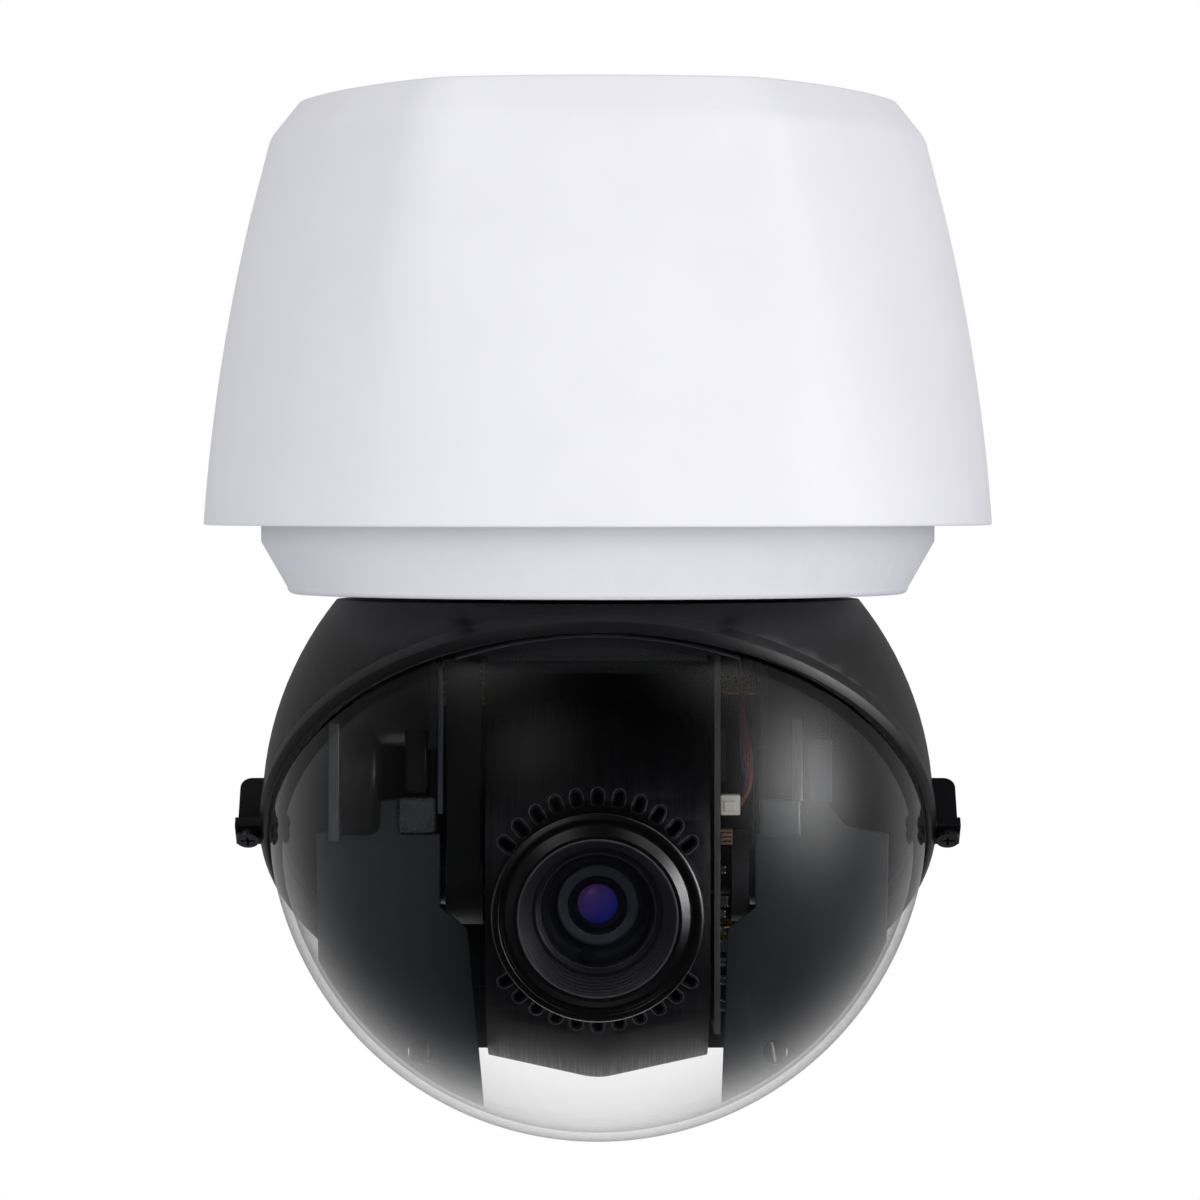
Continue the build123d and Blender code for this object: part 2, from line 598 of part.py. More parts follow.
def yoke_frame():
    out = ARM_X + YOKE_SHEET
    top_arm_z, top_front = TILT_MOTOR_Z - TILT_MOTOR_R, TILT_MOTOR_Y - TILT_MOTOR_R
    body = block(-out, out, top_front, ARM_BACK, YOKE_Z, YOKE_Z + YOKE_TOP) - tube(YOKE_HOLE_R, 0, YOKE_Z - 1, 0)
    for side in (-1, 1):
        low, high = sorted((side * ARM_X, side * out))
        body += block(low, high, ARM_FRONT, ARM_BACK, ARM_BOTTOM_Z, YOKE_Z)
        body += block(low, high, top_front, ARM_BACK, top_arm_z, YOKE_Z)
    body -= tube_x(BEARING_OUT_R, 0, -out - 1, out + 1, 0, TILT_Z)
    body -= tube_x(6.0, 0, -out - 1, -ARM_X + 1, TILT_MOTOR_Y, TILT_MOTOR_Z)
    for x, y in around(6, HUB_SCREW_R):
        body -= Pos(x, y, 0) * tube(1.6, 0, YOKE_Z - 1, YOKE_Z + YOKE_TOP + 1)
    return body


def side_panel(side, outer_x, foot_x):
    """A flat shield between the arm and the bubble, its round edge about the sphere's centre."""
    corner_x, neck_x = ARM_X - 0.7, ARM_X - 8.2
    notch_z = TILT_Z - 7.5
    outline = Polyline(
        (corner_x, TILT_Z + 12.4), (ARM_X + 10, TILT_Z + 12.4), (ARM_X + 10, TILT_Z + 22),
        (ARM_X + 18.5, TILT_Z + 21), (ARM_X + 24, TILT_Z + 14.5), (outer_x, TILT_Z + 12.4),
        (outer_x - 0.5, TILT_Z - 14.5), (outer_x - 0.5, TILT_Z - 75), (foot_x, TILT_Z - 75),
        (foot_x, TILT_Z - 61), (neck_x, TILT_Z - 13.5), (corner_x, notch_z),
        close=True,
    )
    hole = Pos(48.2, SPHERE_Z - 65.4) * Circle(3.4)
    face = (make_face(outline) & Pos(0, SPHERE_Z) * Circle(PANEL_R)) - hole
    plate = Pos(0, ARM_FRONT, 0) * Rot(90, 0, 0) * extrude(face, PANEL)
    return plate if side > 0 else mirror(plate, Plane.YZ)


def top_baffle():
    half, front = 37.5, -58.0
    low = YOKE_Z - PANEL
    body = block(-half, half, front, TILT_MOTOR_Y - TILT_MOTOR_R + 8, low, YOKE_Z)
    body += block(-half, half, front, front + PANEL, low - 4.0, low)
    body += block(-half + 9, half - 9, front, front + PANEL, low - 5.5, low)
    for x, y in around(6, HUB_SCREW_R):
        body -= Pos(x, y, 0) * tube(3.6, 0, low - 1, YOKE_Z + 1)
    return body


def tilt_motor():
    right = -ARM_X - YOKE_SHEET
    left = right - TILT_MOTOR_LENGTH
    body = tube_x(TILT_MOTOR_R, 0, left, right, TILT_MOTOR_Y, TILT_MOTOR_Z)
    body += tube_x(6.0, 0, right, -ARM_X, TILT_MOTOR_Y, TILT_MOTOR_Z)
    return body - tube_x(TILT_SHAFT_R + RUNNING, 0, left + 2, -ARM_X + 1, TILT_MOTOR_Y, TILT_MOTOR_Z)


def tilt_motor_pulley():
    y, z = TILT_MOTOR_Y, TILT_MOTOR_Z
    rim, flange = SMALL_PITCH_R - PULLEY_STEP, SMALL_PITCH_R + 1.2
    left, right = BELT_LEFT - BELT_FLANGE, BELT_RIGHT + BELT_FLANGE
    body = tube_x(rim, 0, left, right, y, z)
    body += tube_x(flange, 0, left - BELT_FLANGE, left, y, z)
    body += tube_x(flange, 0, right, right + BELT_FLANGE, y, z)
    shaft_end = -ARM_X - YOKE_SHEET - TILT_MOTOR_LENGTH + 3
    return body + tube_x(TILT_SHAFT_R, 0, shaft_end, left, y, z)


def tilt_belt():
    inner, big, small = belt_face(SMALL_PITCH_R - PULLEY_STEP + RUNNING, BIG_PITCH_R - PULLEY_STEP + RUNNING)
    outer, _, _ = belt_face(SMALL_PITCH_R + BELT_BACK, BIG_PITCH_R + BELT_BACK)
    face = outer - inner
    for start, end, inward in ((big[0], small[0], -1), (big[1], small[1], 1)):
        run_y, run_z = end[0] - start[0], end[1] - start[1]
        run = math.hypot(run_y, run_z)
        angle = math.degrees(math.atan2(run_z, run_y))
        for index in range(3, int(run / BELT_PITCH) - 1):
            tooth = Pos(index * BELT_PITCH, -inward * 0.3) * Rectangle(1.0, 0.9)
            face += Pos(start[0], start[1]) * Rot(0, 0, angle) * tooth
    band = extrude(face, BELT_RIGHT - BELT_LEFT)
    return Plane(origin=(BELT_LEFT, 0, TILT_Z), x_dir=(0, 1, 0), z_dir=(1, 0, 0)).location * band


def tilt_bearings():
    return [
        tube_x(BEARING_OUT_R, TRUNNION_R + 0.02, *sorted((side * BEARING_X, side * (BEARING_X + 5))), 0, TILT_Z)
        for side in (-1, 1)
    ]


def head_board():
    high = YOKE_Z - PANEL - 1.5
    body = block(BOARD_X, BOARD_X + BOARD, -14, 24, TILT_Z - 42, high)
    return body - tube_x(TRUNNION_R + 2, 0, BOARD_X - 1, BOARD_X + BOARD + 1, 0, TILT_Z)


def board_posts():
    places = ((16, TILT_Z + 52), (16, TILT_Z - 14), (-6, TILT_Z + 52), (-6, TILT_Z - 16))
    return [tube_x(2.2, 0, BOARD_X + BOARD, ARM_X, y, z) for y, z in places]


def head_board_parts():
    face = BOARD_X + BOARD
    parts = [
        block(face, face + 5.4, -13, -6, TILT_Z + 17.5, TILT_Z + 23),
        block(face, face + 3.3, -13, -8, TILT_Z + 9.5, TILT_Z + 13.5),
        block(face, face + 1.8, -4, 10, TILT_Z + 26, TILT_Z + 40),
        block(face, face + 6.0, 2, 14, TILT_Z - 37, TILT_Z - 29),
    ]
    for index in range(5):
        low = TILT_Z + 4 - 8.5 * index
        parts.append(block(face, face + 1.6, -11.2, -8.4, low - 2.4, low))
    return parts


def wire_harness():
    face = BOARD_X + BOARD + 5.4
    start_z, pass_z = TILT_Z + 20.2, YOKE_Z - 1.5
    wires = []
    for index in range(3):
        shift = 1.7 * (index - 1)
        path = FilletPolyline(
            (face + 0.7, -9.5 + shift, start_z),
            (face + 3.0, -9.5 + shift, start_z + 4),
            (face + 2.0, 2.0 + shift, start_z + 22),
            (face + 1.0, 7.0 + shift, pass_z),
            (shift, 10.0 + shift, pass_z + 1.5),
            (shift, 6.0 + shift, HUB_FLANGE_Z + 13.9),
            radius=2.2,
        )
        ring = Plane(origin=path @ 0, z_dir=path % 0) * Circle(0.65)
        wires.append(sweep(ring, path=path))
    return wires


# ---- camera module: everything that tilts ----
def drum(radius, edge_r, half):
    """The crowned drum: two cones that meet in a rounded crease, turned about the X axis."""
    slope = (radius - edge_r) / half
    near = radius - slope * CREASE
    outline = [
        Polyline((near, -CREASE), (edge_r, -half), (0, -half), (0, half), (edge_r, half), (near, CREASE)),
        ThreePointArc((near, CREASE), (radius - slope * CREASE / 2, 0), (near, -CREASE)),
    ]
    return Pos(0, -DRUM_DROP, 0) * Rot(0, 90, 0) * lathe(*outline)


def drum_shell():
    slope = (DRUM_R - DRUM_EDGE_R) / DRUM_HALF
    inner_half = DRUM_HALF - DRUM_WALL
    body = drum(DRUM_R, DRUM_EDGE_R, DRUM_HALF)
    body -= drum(DRUM_R - DRUM_WALL, DRUM_EDGE_R - DRUM_WALL + slope * DRUM_WALL, inner_half)
    return body - tube_x(TRUNNION_R, 0, -DRUM_HALF - 1, DRUM_HALF + 1)


def vent_slots():
    """Two arcs of radial slots, above and below the lens, as cutters."""
    cutters = []
    for centre in (90, -90):
        for index in range(VENTS):
            angle = centre + VENT_STEP * (index - (VENTS - 1) / 2)
            slot = SlotOverall(VENT_OUT - VENT_IN, VENT_WIDTH)
            placed = Pos(0, -VENT_DROP) * Rot(0, 0, angle) * Pos((VENT_IN + VENT_OUT) / 2, 0) * slot
            cutters.append(Pos(0, 0, 30) * extrude(placed, 30))
    return cutters


def lens_shroud():
    body = drum_shell() & block(-60, 60, -80, 80, 0, 80)
    body -= tube(BEZEL_R - 3.4, 0, 20, 80)
    return LENS * (body - vent_slots() - shroud_screw_holes(0))


def rear_shroud():
    body = drum_shell() & block(-60, 60, -80, 80, -80, 0)
    return LENS * (body - shroud_screw_holes(1))


def screw_spots():
    return [(side, y) for side in (-1, 1) for y in (-34, 30)]


def shroud_screw_holes(back):
    """Screw holes through the side walls, just in front of or behind the joint."""
    z = -6 if back else 6
    return [
        tube_x(1.6, 0, *sorted((side * (DRUM_HALF - 4), side * (DRUM_HALF + 1))), y, z)
        for side, y in screw_spots()
    ]


def shroud_screws():
    parts = []
    for z in (-6, 6):
        for side, y in screw_spots():
            parts.append(LENS * tube_x(1.6, 0, *sorted((side * (DRUM_HALF - 3), side * DRUM_HALF)), y, z))
    return parts


def lens_bezel():
    """A ring on the drum's front: rounded outside, a ribbed cone inside."""
    ribs = 5
    mouth, throat = BEZEL_MOUTH_R, BARREL_R - 1.2
    rib, fall = (mouth - throat) / ribs, (BEZEL_FRONT - 1.5 - BEZEL_BACK) / ribs
    points = [(mouth, BEZEL_FRONT - 1.5)]
    for index in range(ribs):
        low = BEZEL_FRONT - 1.5 - fall * index
        points.append((mouth - rib * index, low - fall / 2))
        points.append((mouth - rib * (index + 1), low - fall))
    sleeve = BEZEL_R - 3.6
    edge = [
        Polyline(*points, (BARREL_R + 0.6, BEZEL_BACK), (BARREL_R + 0.6, 44), (sleeve, 44),
                 (sleeve, 38), (BEZEL_R, 38), (BEZEL_R, BEZEL_FRONT - BEZEL_ROUND)),
        ThreePointArc(
            (BEZEL_R, BEZEL_FRONT - BEZEL_ROUND),
            (BEZEL_R - 0.29 * BEZEL_ROUND, BEZEL_FRONT - 0.29 * BEZEL_ROUND),
            (BEZEL_R - BEZEL_ROUND, BEZEL_FRONT),
        ),
        Line((BEZEL_R - BEZEL_ROUND, BEZEL_FRONT), (mouth + 1.5, BEZEL_FRONT)),
        Line((mouth + 1.5, BEZEL_FRONT), (mouth, BEZEL_FRONT - 1.5)),
    ]
    ring = lathe(*edge)
    outside = ring - drum(DRUM_R, DRUM_EDGE_R, DRUM_HALF)
    inside = ring & tube(sleeve, 0, 40, BEZEL_FRONT)
    return LENS * (outside + inside)


def camera_block():
    wall = BLOCK_WALL
    x, y = BLOCK_HALF_X, BLOCK_HALF_Y
    body = block(-x, x, -y, y, BLOCK_BACK, BLOCK_FRONT)
    body -= block(-x + wall, x - wall, -y + wall, y - wall, BLOCK_BACK + wall, BLOCK_FRONT - wall)
    return LENS * (body - tube(BARREL_BORE_R, 0, BLOCK_FRONT - 5, BLOCK_FRONT + 5))


def tilt_frame():
    x, y = BLOCK_HALF_X, BLOCK_HALF_Y
    out = x + FRAME_SHEET
    body = block(-out, out, -y - FRAME_SHEET, -y, -25, 15)
    for side in (-1, 1):
        low, high = sorted((side * x, side * out))
        body += block(low, high, -y, 20, -25, 15)
        body += tube_x(TRUNNION_R, 0, *sorted((side * x, side * (BEARING_X + 5.5))))
    return LENS * body


def lens_barrel():
    body = tube(BARREL_R, BARREL_BORE_R, BLOCK_FRONT, BARREL_FRONT)
    body += tube(BARREL_R + 3, BARREL_BORE_R, BLOCK_FRONT, BLOCK_FRONT + 2)
    return LENS * (body + tube(BARREL_BORE_R, BARREL_BORE_R - BARREL_LIP, BARREL_FRONT - 2, BARREL_FRONT))


def convex(radius, low, high, bulge):
    """A lens about Z: a disc whose front is a spherical cap and whose back is flat."""
    sphere_r = (radius**2 + bulge**2) / (2 * bulge)
    ball = Pos(0, 0, high + bulge - sphere_r) * Sphere(sphere_r)
    return tube(radius, 0, low, high + bulge) & ball


def front_lens():
    return LENS * convex(BARREL_BORE_R, BARREL_FRONT - 6, BARREL_FRONT - 2.5, 1.6)


def lens_core():
    """The inner lens mount behind the front lens: a plate and a raised ring."""
    body = tube(BARREL_BORE_R, 5.4, CORE_AT, CORE_AT + 2) + tube(10.8, 7.9, CORE_AT, CORE_AT + 6)
    body += tube(7.9, 5.4, CORE_AT, CORE_AT + 4)
    body -= Pos(CORE_SCREW_X, CORE_SCREW_IN - BARREL_BORE_R, 0) * tube(0.9, 0, CORE_AT - 1, CORE_AT + 3)
    return LENS * body


def core_screw():
    return LENS * Pos(CORE_SCREW_X, CORE_SCREW_IN - BARREL_BORE_R, CORE_AT + 2) * screw(1.9, 0.9, 0.9, 1.8)


def inner_lens():
    return LENS * convex(5.4, CORE_AT + 1, CORE_AT + 3, 0.9)


def guide_rods():
    low = BLOCK_BACK + BLOCK_WALL
    return [LENS * Pos(side * ROD_X, 0, 0) * tube(ROD_R, 0, low, CORE_AT) for side in (-1, 1)]


def carriage(at, thick):
    body = tube(CARRIAGE_R, 9.0, at, at + thick)
    ears = block(-ROD_X - 1.9, ROD_X + 1.9, -2.4, 2.4, at, at + thick) - tube(CARRIAGE_R - 1, 0, at - 1, at + thick + 1)
    body += ears
    for side in (-1, 1):
        body -= Pos(side * ROD_X, 0, 0) * tube(ROD_R + RUNNING, 0, at - 1, at + thick + 1)
    return LENS * body


def image_sensor():
    low = BLOCK_BACK + BLOCK_WALL
    board = block(-12, 12, -16, 16, low, low + BOARD)
    return LENS * (board + block(-5, 5, -5, 5, low + BOARD, low + BOARD + 2))


def tilt_pulley():
    left, right = BELT_LEFT - BELT_FLANGE, BELT_RIGHT + BELT_FLANGE
    rim, flange = BIG_PITCH_R - PULLEY_STEP, BIG_PITCH_R + 0.8
    body = tube_x(rim, TRUNNION_R, left, right, 0, TILT_Z)
    body += tube_x(flange, TRUNNION_R, left, left + BELT_FLANGE - 0.1, 0, TILT_Z)
    return body + tube_x(flange, TRUNNION_R, right - BELT_FLANGE + 0.1, right, 0, TILT_Z)


def encoder_disc():
    return tube_x(12.5, TRUNNION_R, BOARD_X + BOARD + 3.2, ARM_X - 2.4, 0, TILT_Z)


# ---- one STEP file for each node ----
NODES = {
    "sun_hood": sun_hood,
    "hood_screws": hood_screws,
    "mount_collar": mount_collar,
    "collar_screws": collar_screws,
    "cable_gland": cable_gland,
    "base_housing": base_housing,
    "cover_gasket": cover_gasket,
    "base_cover": base_cover,
    "cover_screws": cover_screws,
    "bearing_outer_ring": bearing_outer_ring,
    "bearing_balls": bearing_balls,
    "pan_seal": pan_seal,
    "pan_motor": pan_motor,
    "motor_bracket": motor_bracket,
    "slip_ring_stator": slip_ring_stator,
    "main_board": main_board,
    "main_board_parts": main_board_parts,
    "board_standoffs": board_standoffs,
    "pan_pinion": pan_pinion,
    "pan_hub": pan_hub,
    "hub_screws": hub_screws,
    "bearing_inner_ring": bearing_inner_ring,
    "pan_gear": pan_gear,
    "slip_ring_rotor": slip_ring_rotor,
    "head_shell": head_shell,
    "bubble_gasket": bubble_gasket,
    "dome_bubble": dome_bubble,
    "bubble_ring": bubble_ring,
    "ring_screws": ring_screws,
    "yoke_frame": yoke_frame,
    "left_side_panel": lambda: side_panel(-1, 76.5, ARM_X - 12.5),
    "right_side_panel": lambda: side_panel(1, 79.0, ARM_X - 9.9),
    "top_baffle": top_baffle,
    "tilt_motor": tilt_motor,
    "tilt_motor_pulley": tilt_motor_pulley,
    "tilt_belt": tilt_belt,
    "tilt_bearings": tilt_bearings,
    "head_board": head_board,
    "head_board_parts": head_board_parts,
    "board_posts": board_posts,
    "wire_harness": wire_harness,
    "tilt_frame": tilt_frame,
    "tilt_pulley": tilt_pulley,
    "encoder_disc": encoder_disc,
    "camera_block": camera_block,
    "image_sensor": image_sensor,
    "guide_rods": guide_rods,
    "zoom_carriage": lambda: carriage(ZOOM_AT, CARRIAGE),
    "zoom_lens": lambda: LENS * convex(9.0, ZOOM_AT + 2, ZOOM_AT + 5, 1.2),
    "focus_carriage": lambda: carriage(FOCUS_AT, FOCUS_CARRIAGE),
    "focus_lens": lambda: LENS * convex(9.0, FOCUS_AT + 1.5, FOCUS_AT + 4, 1.0),
    "lens_barrel": lens_barrel,
    "front_lens": front_lens,
    "lens_core": lens_core,
    "core_screw": core_screw,
    "inner_lens": inner_lens,
    "lens_bezel": lens_bezel,
    "lens_shroud": lens_shroud,
    "rear_shroud": rear_shroud,
    "shroud_screws": shroud_screws,
}


def main():
    os.makedirs("parts", exist_ok=True)
    for name, make in NODES.items():
        made = make()
        solids = [s for shape in (made if isinstance(made, list) else [made]) for s in shape.solids()]
        export_step(solids[0] if len(solids) == 1 else Compound(children=solids), f"parts/{name}.step")
        print(name, len(solids))


main()
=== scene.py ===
"""Looks of a pan-tilt-zoom dome camera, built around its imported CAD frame."""

import json
import math

import bmesh
import bpy
import numpy as np
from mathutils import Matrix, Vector


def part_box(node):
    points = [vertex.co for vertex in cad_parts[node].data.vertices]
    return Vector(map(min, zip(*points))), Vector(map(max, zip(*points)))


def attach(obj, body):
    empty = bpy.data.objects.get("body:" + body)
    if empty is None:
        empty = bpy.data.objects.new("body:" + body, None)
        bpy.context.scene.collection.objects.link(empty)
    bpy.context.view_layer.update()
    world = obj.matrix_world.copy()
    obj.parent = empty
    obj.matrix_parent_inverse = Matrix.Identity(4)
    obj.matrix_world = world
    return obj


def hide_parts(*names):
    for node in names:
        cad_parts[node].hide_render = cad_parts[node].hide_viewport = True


MM = 0.001
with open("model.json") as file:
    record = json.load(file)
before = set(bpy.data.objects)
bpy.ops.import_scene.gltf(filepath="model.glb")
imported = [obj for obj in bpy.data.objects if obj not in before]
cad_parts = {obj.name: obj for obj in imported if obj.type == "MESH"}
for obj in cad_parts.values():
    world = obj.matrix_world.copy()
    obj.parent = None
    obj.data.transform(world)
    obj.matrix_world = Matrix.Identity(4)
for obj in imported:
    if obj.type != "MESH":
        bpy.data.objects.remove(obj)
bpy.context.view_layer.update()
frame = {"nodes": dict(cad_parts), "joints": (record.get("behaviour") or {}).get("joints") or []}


# ---------------------------------------------------------------- places taken from the frame
hood_low, hood_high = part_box("sun_hood")
bubble_low, bubble_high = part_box("dome_bubble")
JOINTS = {joint["name"]: joint for joint in frame["joints"]}
TILT_Z = JOINTS["tilt"]["pos_m"][2]
LENS_AXIS = np.array(JOINTS["zoom_slide"]["axis"])
BUBBLE_R = (bubble_high[0] - bubble_low[0]) / 2
SPHERE = np.array([0.0, 0.0, bubble_low[2] + BUBBLE_R])
BUBBLE_TILT = math.radians(49)  # the bubble's axis points forwards and this far below level
BUBBLE_AXIS = np.array([0.0, -math.cos(BUBBLE_TILT), -math.sin(BUBBLE_TILT)])
X_AXIS = np.array([1.0, 0.0, 0.0])
UP = np.array([0.0, LENS_AXIS[2], -LENS_AXIS[1]])  # square to the lens axis and to X
TILT = np.array([0.0, 0.0, TILT_Z])


def about_tilt(node):
    """The low and high corners of a CAD node's box, in mm about the tilt axis."""
    return [(np.array(corner) - TILT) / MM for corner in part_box(node)]


# ---------------------------------------------------------------- materials
def linear(code):
    """An sRGB hex colour as linear RGBA."""
    parts = [int(code[start:start + 2], 16) / 255 for start in (1, 3, 5)]
    return tuple(c / 12.92 if c <= 0.04045 else ((c + 0.055) / 1.055) ** 2.4 for c in parts) + (1.0,)


def add(tree, kind, settings=None, inputs=None):
    """Adds one shader node; an input is a value, or an output socket to link from."""
    node = tree.nodes.new(kind)
    for key, value in (settings or {}).items():
        setattr(node, key, value)
    for key, value in (inputs or {}).items():
        if isinstance(value, bpy.types.NodeSocket):
            tree.links.new(value, node.inputs[key])
        else:
            node.inputs[key].default_value = value
    return node


def new_material(name):
    """An empty node material with its tree and its output node."""
    material = bpy.data.materials.new(name)
    material.use_nodes = True
    tree = material.node_tree
    tree.nodes.clear()
    return material, tree, add(tree, "ShaderNodeOutputMaterial")


def object_noise(tree, size_mm, detail=2.0, stretch=(1, 1, 1)):
    """Noise whose cells are about size_mm across, on Object coordinates."""
    coords = add(tree, "ShaderNodeTexCoord").outputs["Object"]
    mapping = add(tree, "ShaderNodeMapping", inputs={"Vector": coords, "Scale": stretch})
    scale = 1 / (size_mm * MM)
    return add(tree, "ShaderNodeTexNoise",
               inputs={"Vector": mapping.outputs[0], "Scale": scale, "Detail": detail}).outputs["Fac"]


def spread(tree, factor, low, high, middle=(0.3, 0.7)):
    """Maps a noise's middle range, where nearly all of its values lie, to low..high."""
    return add(tree, "ShaderNodeMapRange", inputs={
        "Value": factor, "From Min": middle[0], "From Max": middle[1],
        "To Min": low, "To Max": high}).outputs[0]


PATCH_MM = 30.0       # size of the soft patches between a finish's two colours
GRAIN_DEPTH = 0.2 * MM
COAT_ROUGH = 0.04


def grained(name, dark, light, rough, grain_mm, bump, coat=0.0, metallic=0.0, rough_spread=0.06, ior=1.5):
    """A moulded, painted or plated surface: two close colours in soft patches and a fine grain in the bump."""
    material, tree, out = new_material(name)
    patches = spread(tree, object_noise(tree, PATCH_MM), 0.0, 1.0)
    colour = add(tree, "ShaderNodeMix", {"data_type": "RGBA"},
                 {"Factor": patches, "A": linear(dark), "B": linear(light)}).outputs["Result"]
    grain = object_noise(tree, grain_mm, 3.0)
    height = add(tree, "ShaderNodeBump",
                 inputs={"Height": grain, "Strength": bump, "Distance": GRAIN_DEPTH})
    roughness = spread(tree, grain, rough - rough_spread, rough + rough_spread)
    shader = add(tree, "ShaderNodeBsdfPrincipled", inputs={
        "Base Color": colour, "Roughness": roughness, "Metallic": metallic, "IOR": ior,
        "Coat Weight": coat, "Coat Roughness": COAT_ROUGH, "Normal": height.outputs[0]})
    tree.links.new(shader.outputs[0], out.inputs["Surface"])
    return material


def clear(name, tint, reflect, rough):
    """A thin clear wall: what is behind shows through, and the share of gloss grows from reflect, where
    the wall faces the eye, to 1 at its edge, with the fourth power of the turn away."""
    material, tree, out = new_material(name)
    grazing = add(tree, "ShaderNodeLayerWeight", inputs={"Blend": 0.5}).outputs["Facing"]
    rise = add(tree, "ShaderNodeMath", {"operation": "POWER"}, {0: grazing, 1: 4.0}).outputs[0]
    share = add(tree, "ShaderNodeMapRange",
                inputs={"Value": rise, "To Min": reflect, "To Max": 1.0}).outputs[0]
    through = add(tree, "ShaderNodeBsdfTransparent", inputs={"Color": linear(tint)})
    gloss = add(tree, "ShaderNodeBsdfAnisotropic", inputs={"Color": (1, 1, 1, 1), "Roughness": rough})
    mixed = add(tree, "ShaderNodeMixShader", inputs={0: share, 1: through.outputs[0], 2: gloss.outputs[0]})
    tree.links.new(mixed.outputs[0], out.inputs["Surface"])
    return material


# Darker and lighter colour, roughness, grain in mm, bump's strength, and what else the finish has.
GRAINED = {
    # UV-stable ABS, injection moulded with a fine spark texture: soft, even white with a cool cast.
    "abs_white_moulded": ("#F0F0F1", "#F3F3F4", 0.46, 0.5, 0.10, {}),
    # Die-cast aluminium with white powder coat: a little greyer, with orange peel.
    "powder_coat_white": ("#E8E8EB", "#EBEBEE", 0.42, 1.4, 0.10, {}),
    # ABS, moulded satin black: nearly black, broad soft highlights.
    "abs_black_satin": ("#0C0C0E", "#101012", 0.36, 0.45, 0.12, {}),
    # ABS, moulded satin black in a darker, less glossy copy: painted shade on the side lugs, which return
    # almost no light.
    "abs_black_painted_shade": ("#050508", "#08080B", 0.5, 0.45, 0.1, {"ior": 1.2}),
    # Glass-filled nylon, moulded matte charcoal: dull grey with no clear highlight.
    "nylon_charcoal_matte": ("#1D1F23", "#22252A", 0.60, 0.5, 0.08, {}),
    # Acrylic-coated ABS, polished black: mirror-like lens bezel.
    "abs_piano_black": ("#060607", "#070708", 0.10, 2.0, 0.01, {"coat": 0.6, "rough_spread": 0.02}),
    # Steel sheet, black oxide: the yoke and the feet, dark with a dull metal cast.
    "black_oxide_sheet": ("#0D0E10", "#131417", 0.42, 0.8, 0.03, {"metallic": 0.2}),
    # Zinc-plated sheet: pale grey metal with slight clouds.
    "zinc_plated_sheet": ("#9A9C9F", "#B4B6B9", 0.34, 1.2, 0.08, {"metallic": 1.0}),
    # Stainless steel, turned and pickled: grey metal with a soft sheen.
    "stainless_steel": ("#8E8F92", "#B5B6B8", 0.28, 0.6, 0.06, {"metallic": 1.0}),
    # Steel screws, black oxide: dark metal a little brighter than the shell.
    "black_oxide_screw": ("#202023", "#333337", 0.30, 0.5, 0.1, {"metallic": 0.8}),
    # Bearing steel, ground: bright and nearly mirror-like.
    "ground_bearing_steel": ("#B9BABD", "#D2D3D5", 0.16, 0.8, 0.03, {"metallic": 1.0}),
    # Chloroprene rubber, moulded: black and dull.
    "chloroprene_rubber": ("#09090A", "#0D0D0E", 0.55, 0.5, 0.05, {}),
    # Epoxy glass board with green solder mask, glossy.
    "solder_mask_green": ("#0C2A18", "#10331E", 0.30, 1.5, 0.05, {"coat": 0.3}),
    # Epoxy, moulded: the dull black of chips and connectors.
    "epoxy_black": ("#151517", "#1D1D20", 0.50, 0.4, 0.15, {}),
    # Steel, drawn and painted black: the motors' cans, smooth with a weak sheen.
    "motor_black_paint": ("#0C0D0E", "#121315", 0.40, 0.8, 0.015, {"metallic": 0.2}),
    # Brass, turned: yellow metal.
    "turned_brass": ("#A5823C", "#BF9A4C", 0.26, 0.6, 0.05, {"metallic": 1.0}),
    # Nylon, moulded in its natural colour: a warm pale grey.
    "nylon_natural": ("#A9A69C", "#B5B2A8", 0.45, 0.8, 0.05, {}),
    # PVC, extruded: the wires' insulation, smooth and softly glossy in brown, red and blue.
    "pvc_brown": ("#4A231C", "#5A2B22", 0.40, 1.0, 0.05, {}),
    "pvc_red": ("#6A1E1A", "#7C2822", 0.40, 1.0, 0.05, {}),
    "pvc_blue": ("#22344E", "#2C425F", 0.40, 1.0, 0.05, {}),
    # Anodised aluminium, bead blasted black: soft dull gloss.
    "anodised_satin_black": ("#0F0F11", "#161618", 0.38, 0.4, 0.08, {"metallic": 0.2}),
    # Anodised aluminium, turned and grey: the ring round the inner lens. The same pale grey on the fine lips
    # and the mouth's bead is a painted highlight.
    "anodised_grey_and_painted_highlight": ("#3A3B3E", "#434447", 0.40, 0.5, 0.05, {"metallic": 0.3}),
    # Anodised aluminium, turned and dark grey: the fluted cone and the plate behind the front lens.
    "anodised_dark_grey": ("#1F1F22", "#26262A", 0.34, 0.5, 0.04, {"metallic": 0.2}),
    # Zinc-plated sheet, darkened for the parts that stand in shade: painted shade.
    "zinc_painted_shade": ("#3A3D42", "#474A50", 0.40, 1.0, 0.08, {"metallic": 0.5}),
    # Nylon, moulded and smoked: dark with bright edges.
    "nylon_smoked": ("#26282B", "#34373B", 0.25, 1.0, 0.05, {"coat": 0.3}),
    # Cut edge of epoxy glass board: pale grey-brown fibres.
    "fibre_glass_edge": ("#2F2D29", "#403D37", 0.50, 0.6, 0.05, {}),
    # Phenolic, moulded: the brown body of the socket.
    "phenolic_brown": ("#4A3F30", "#5A4C3A", 0.45, 0.6, 0.05, {}),
    # Copper, tinned: the bright ends of the small parts.
    "tinned_copper": ("#B9BBBE", "#CED0D2", 0.25, 0.5, 0.05, {"metallic": 1.0}),
}


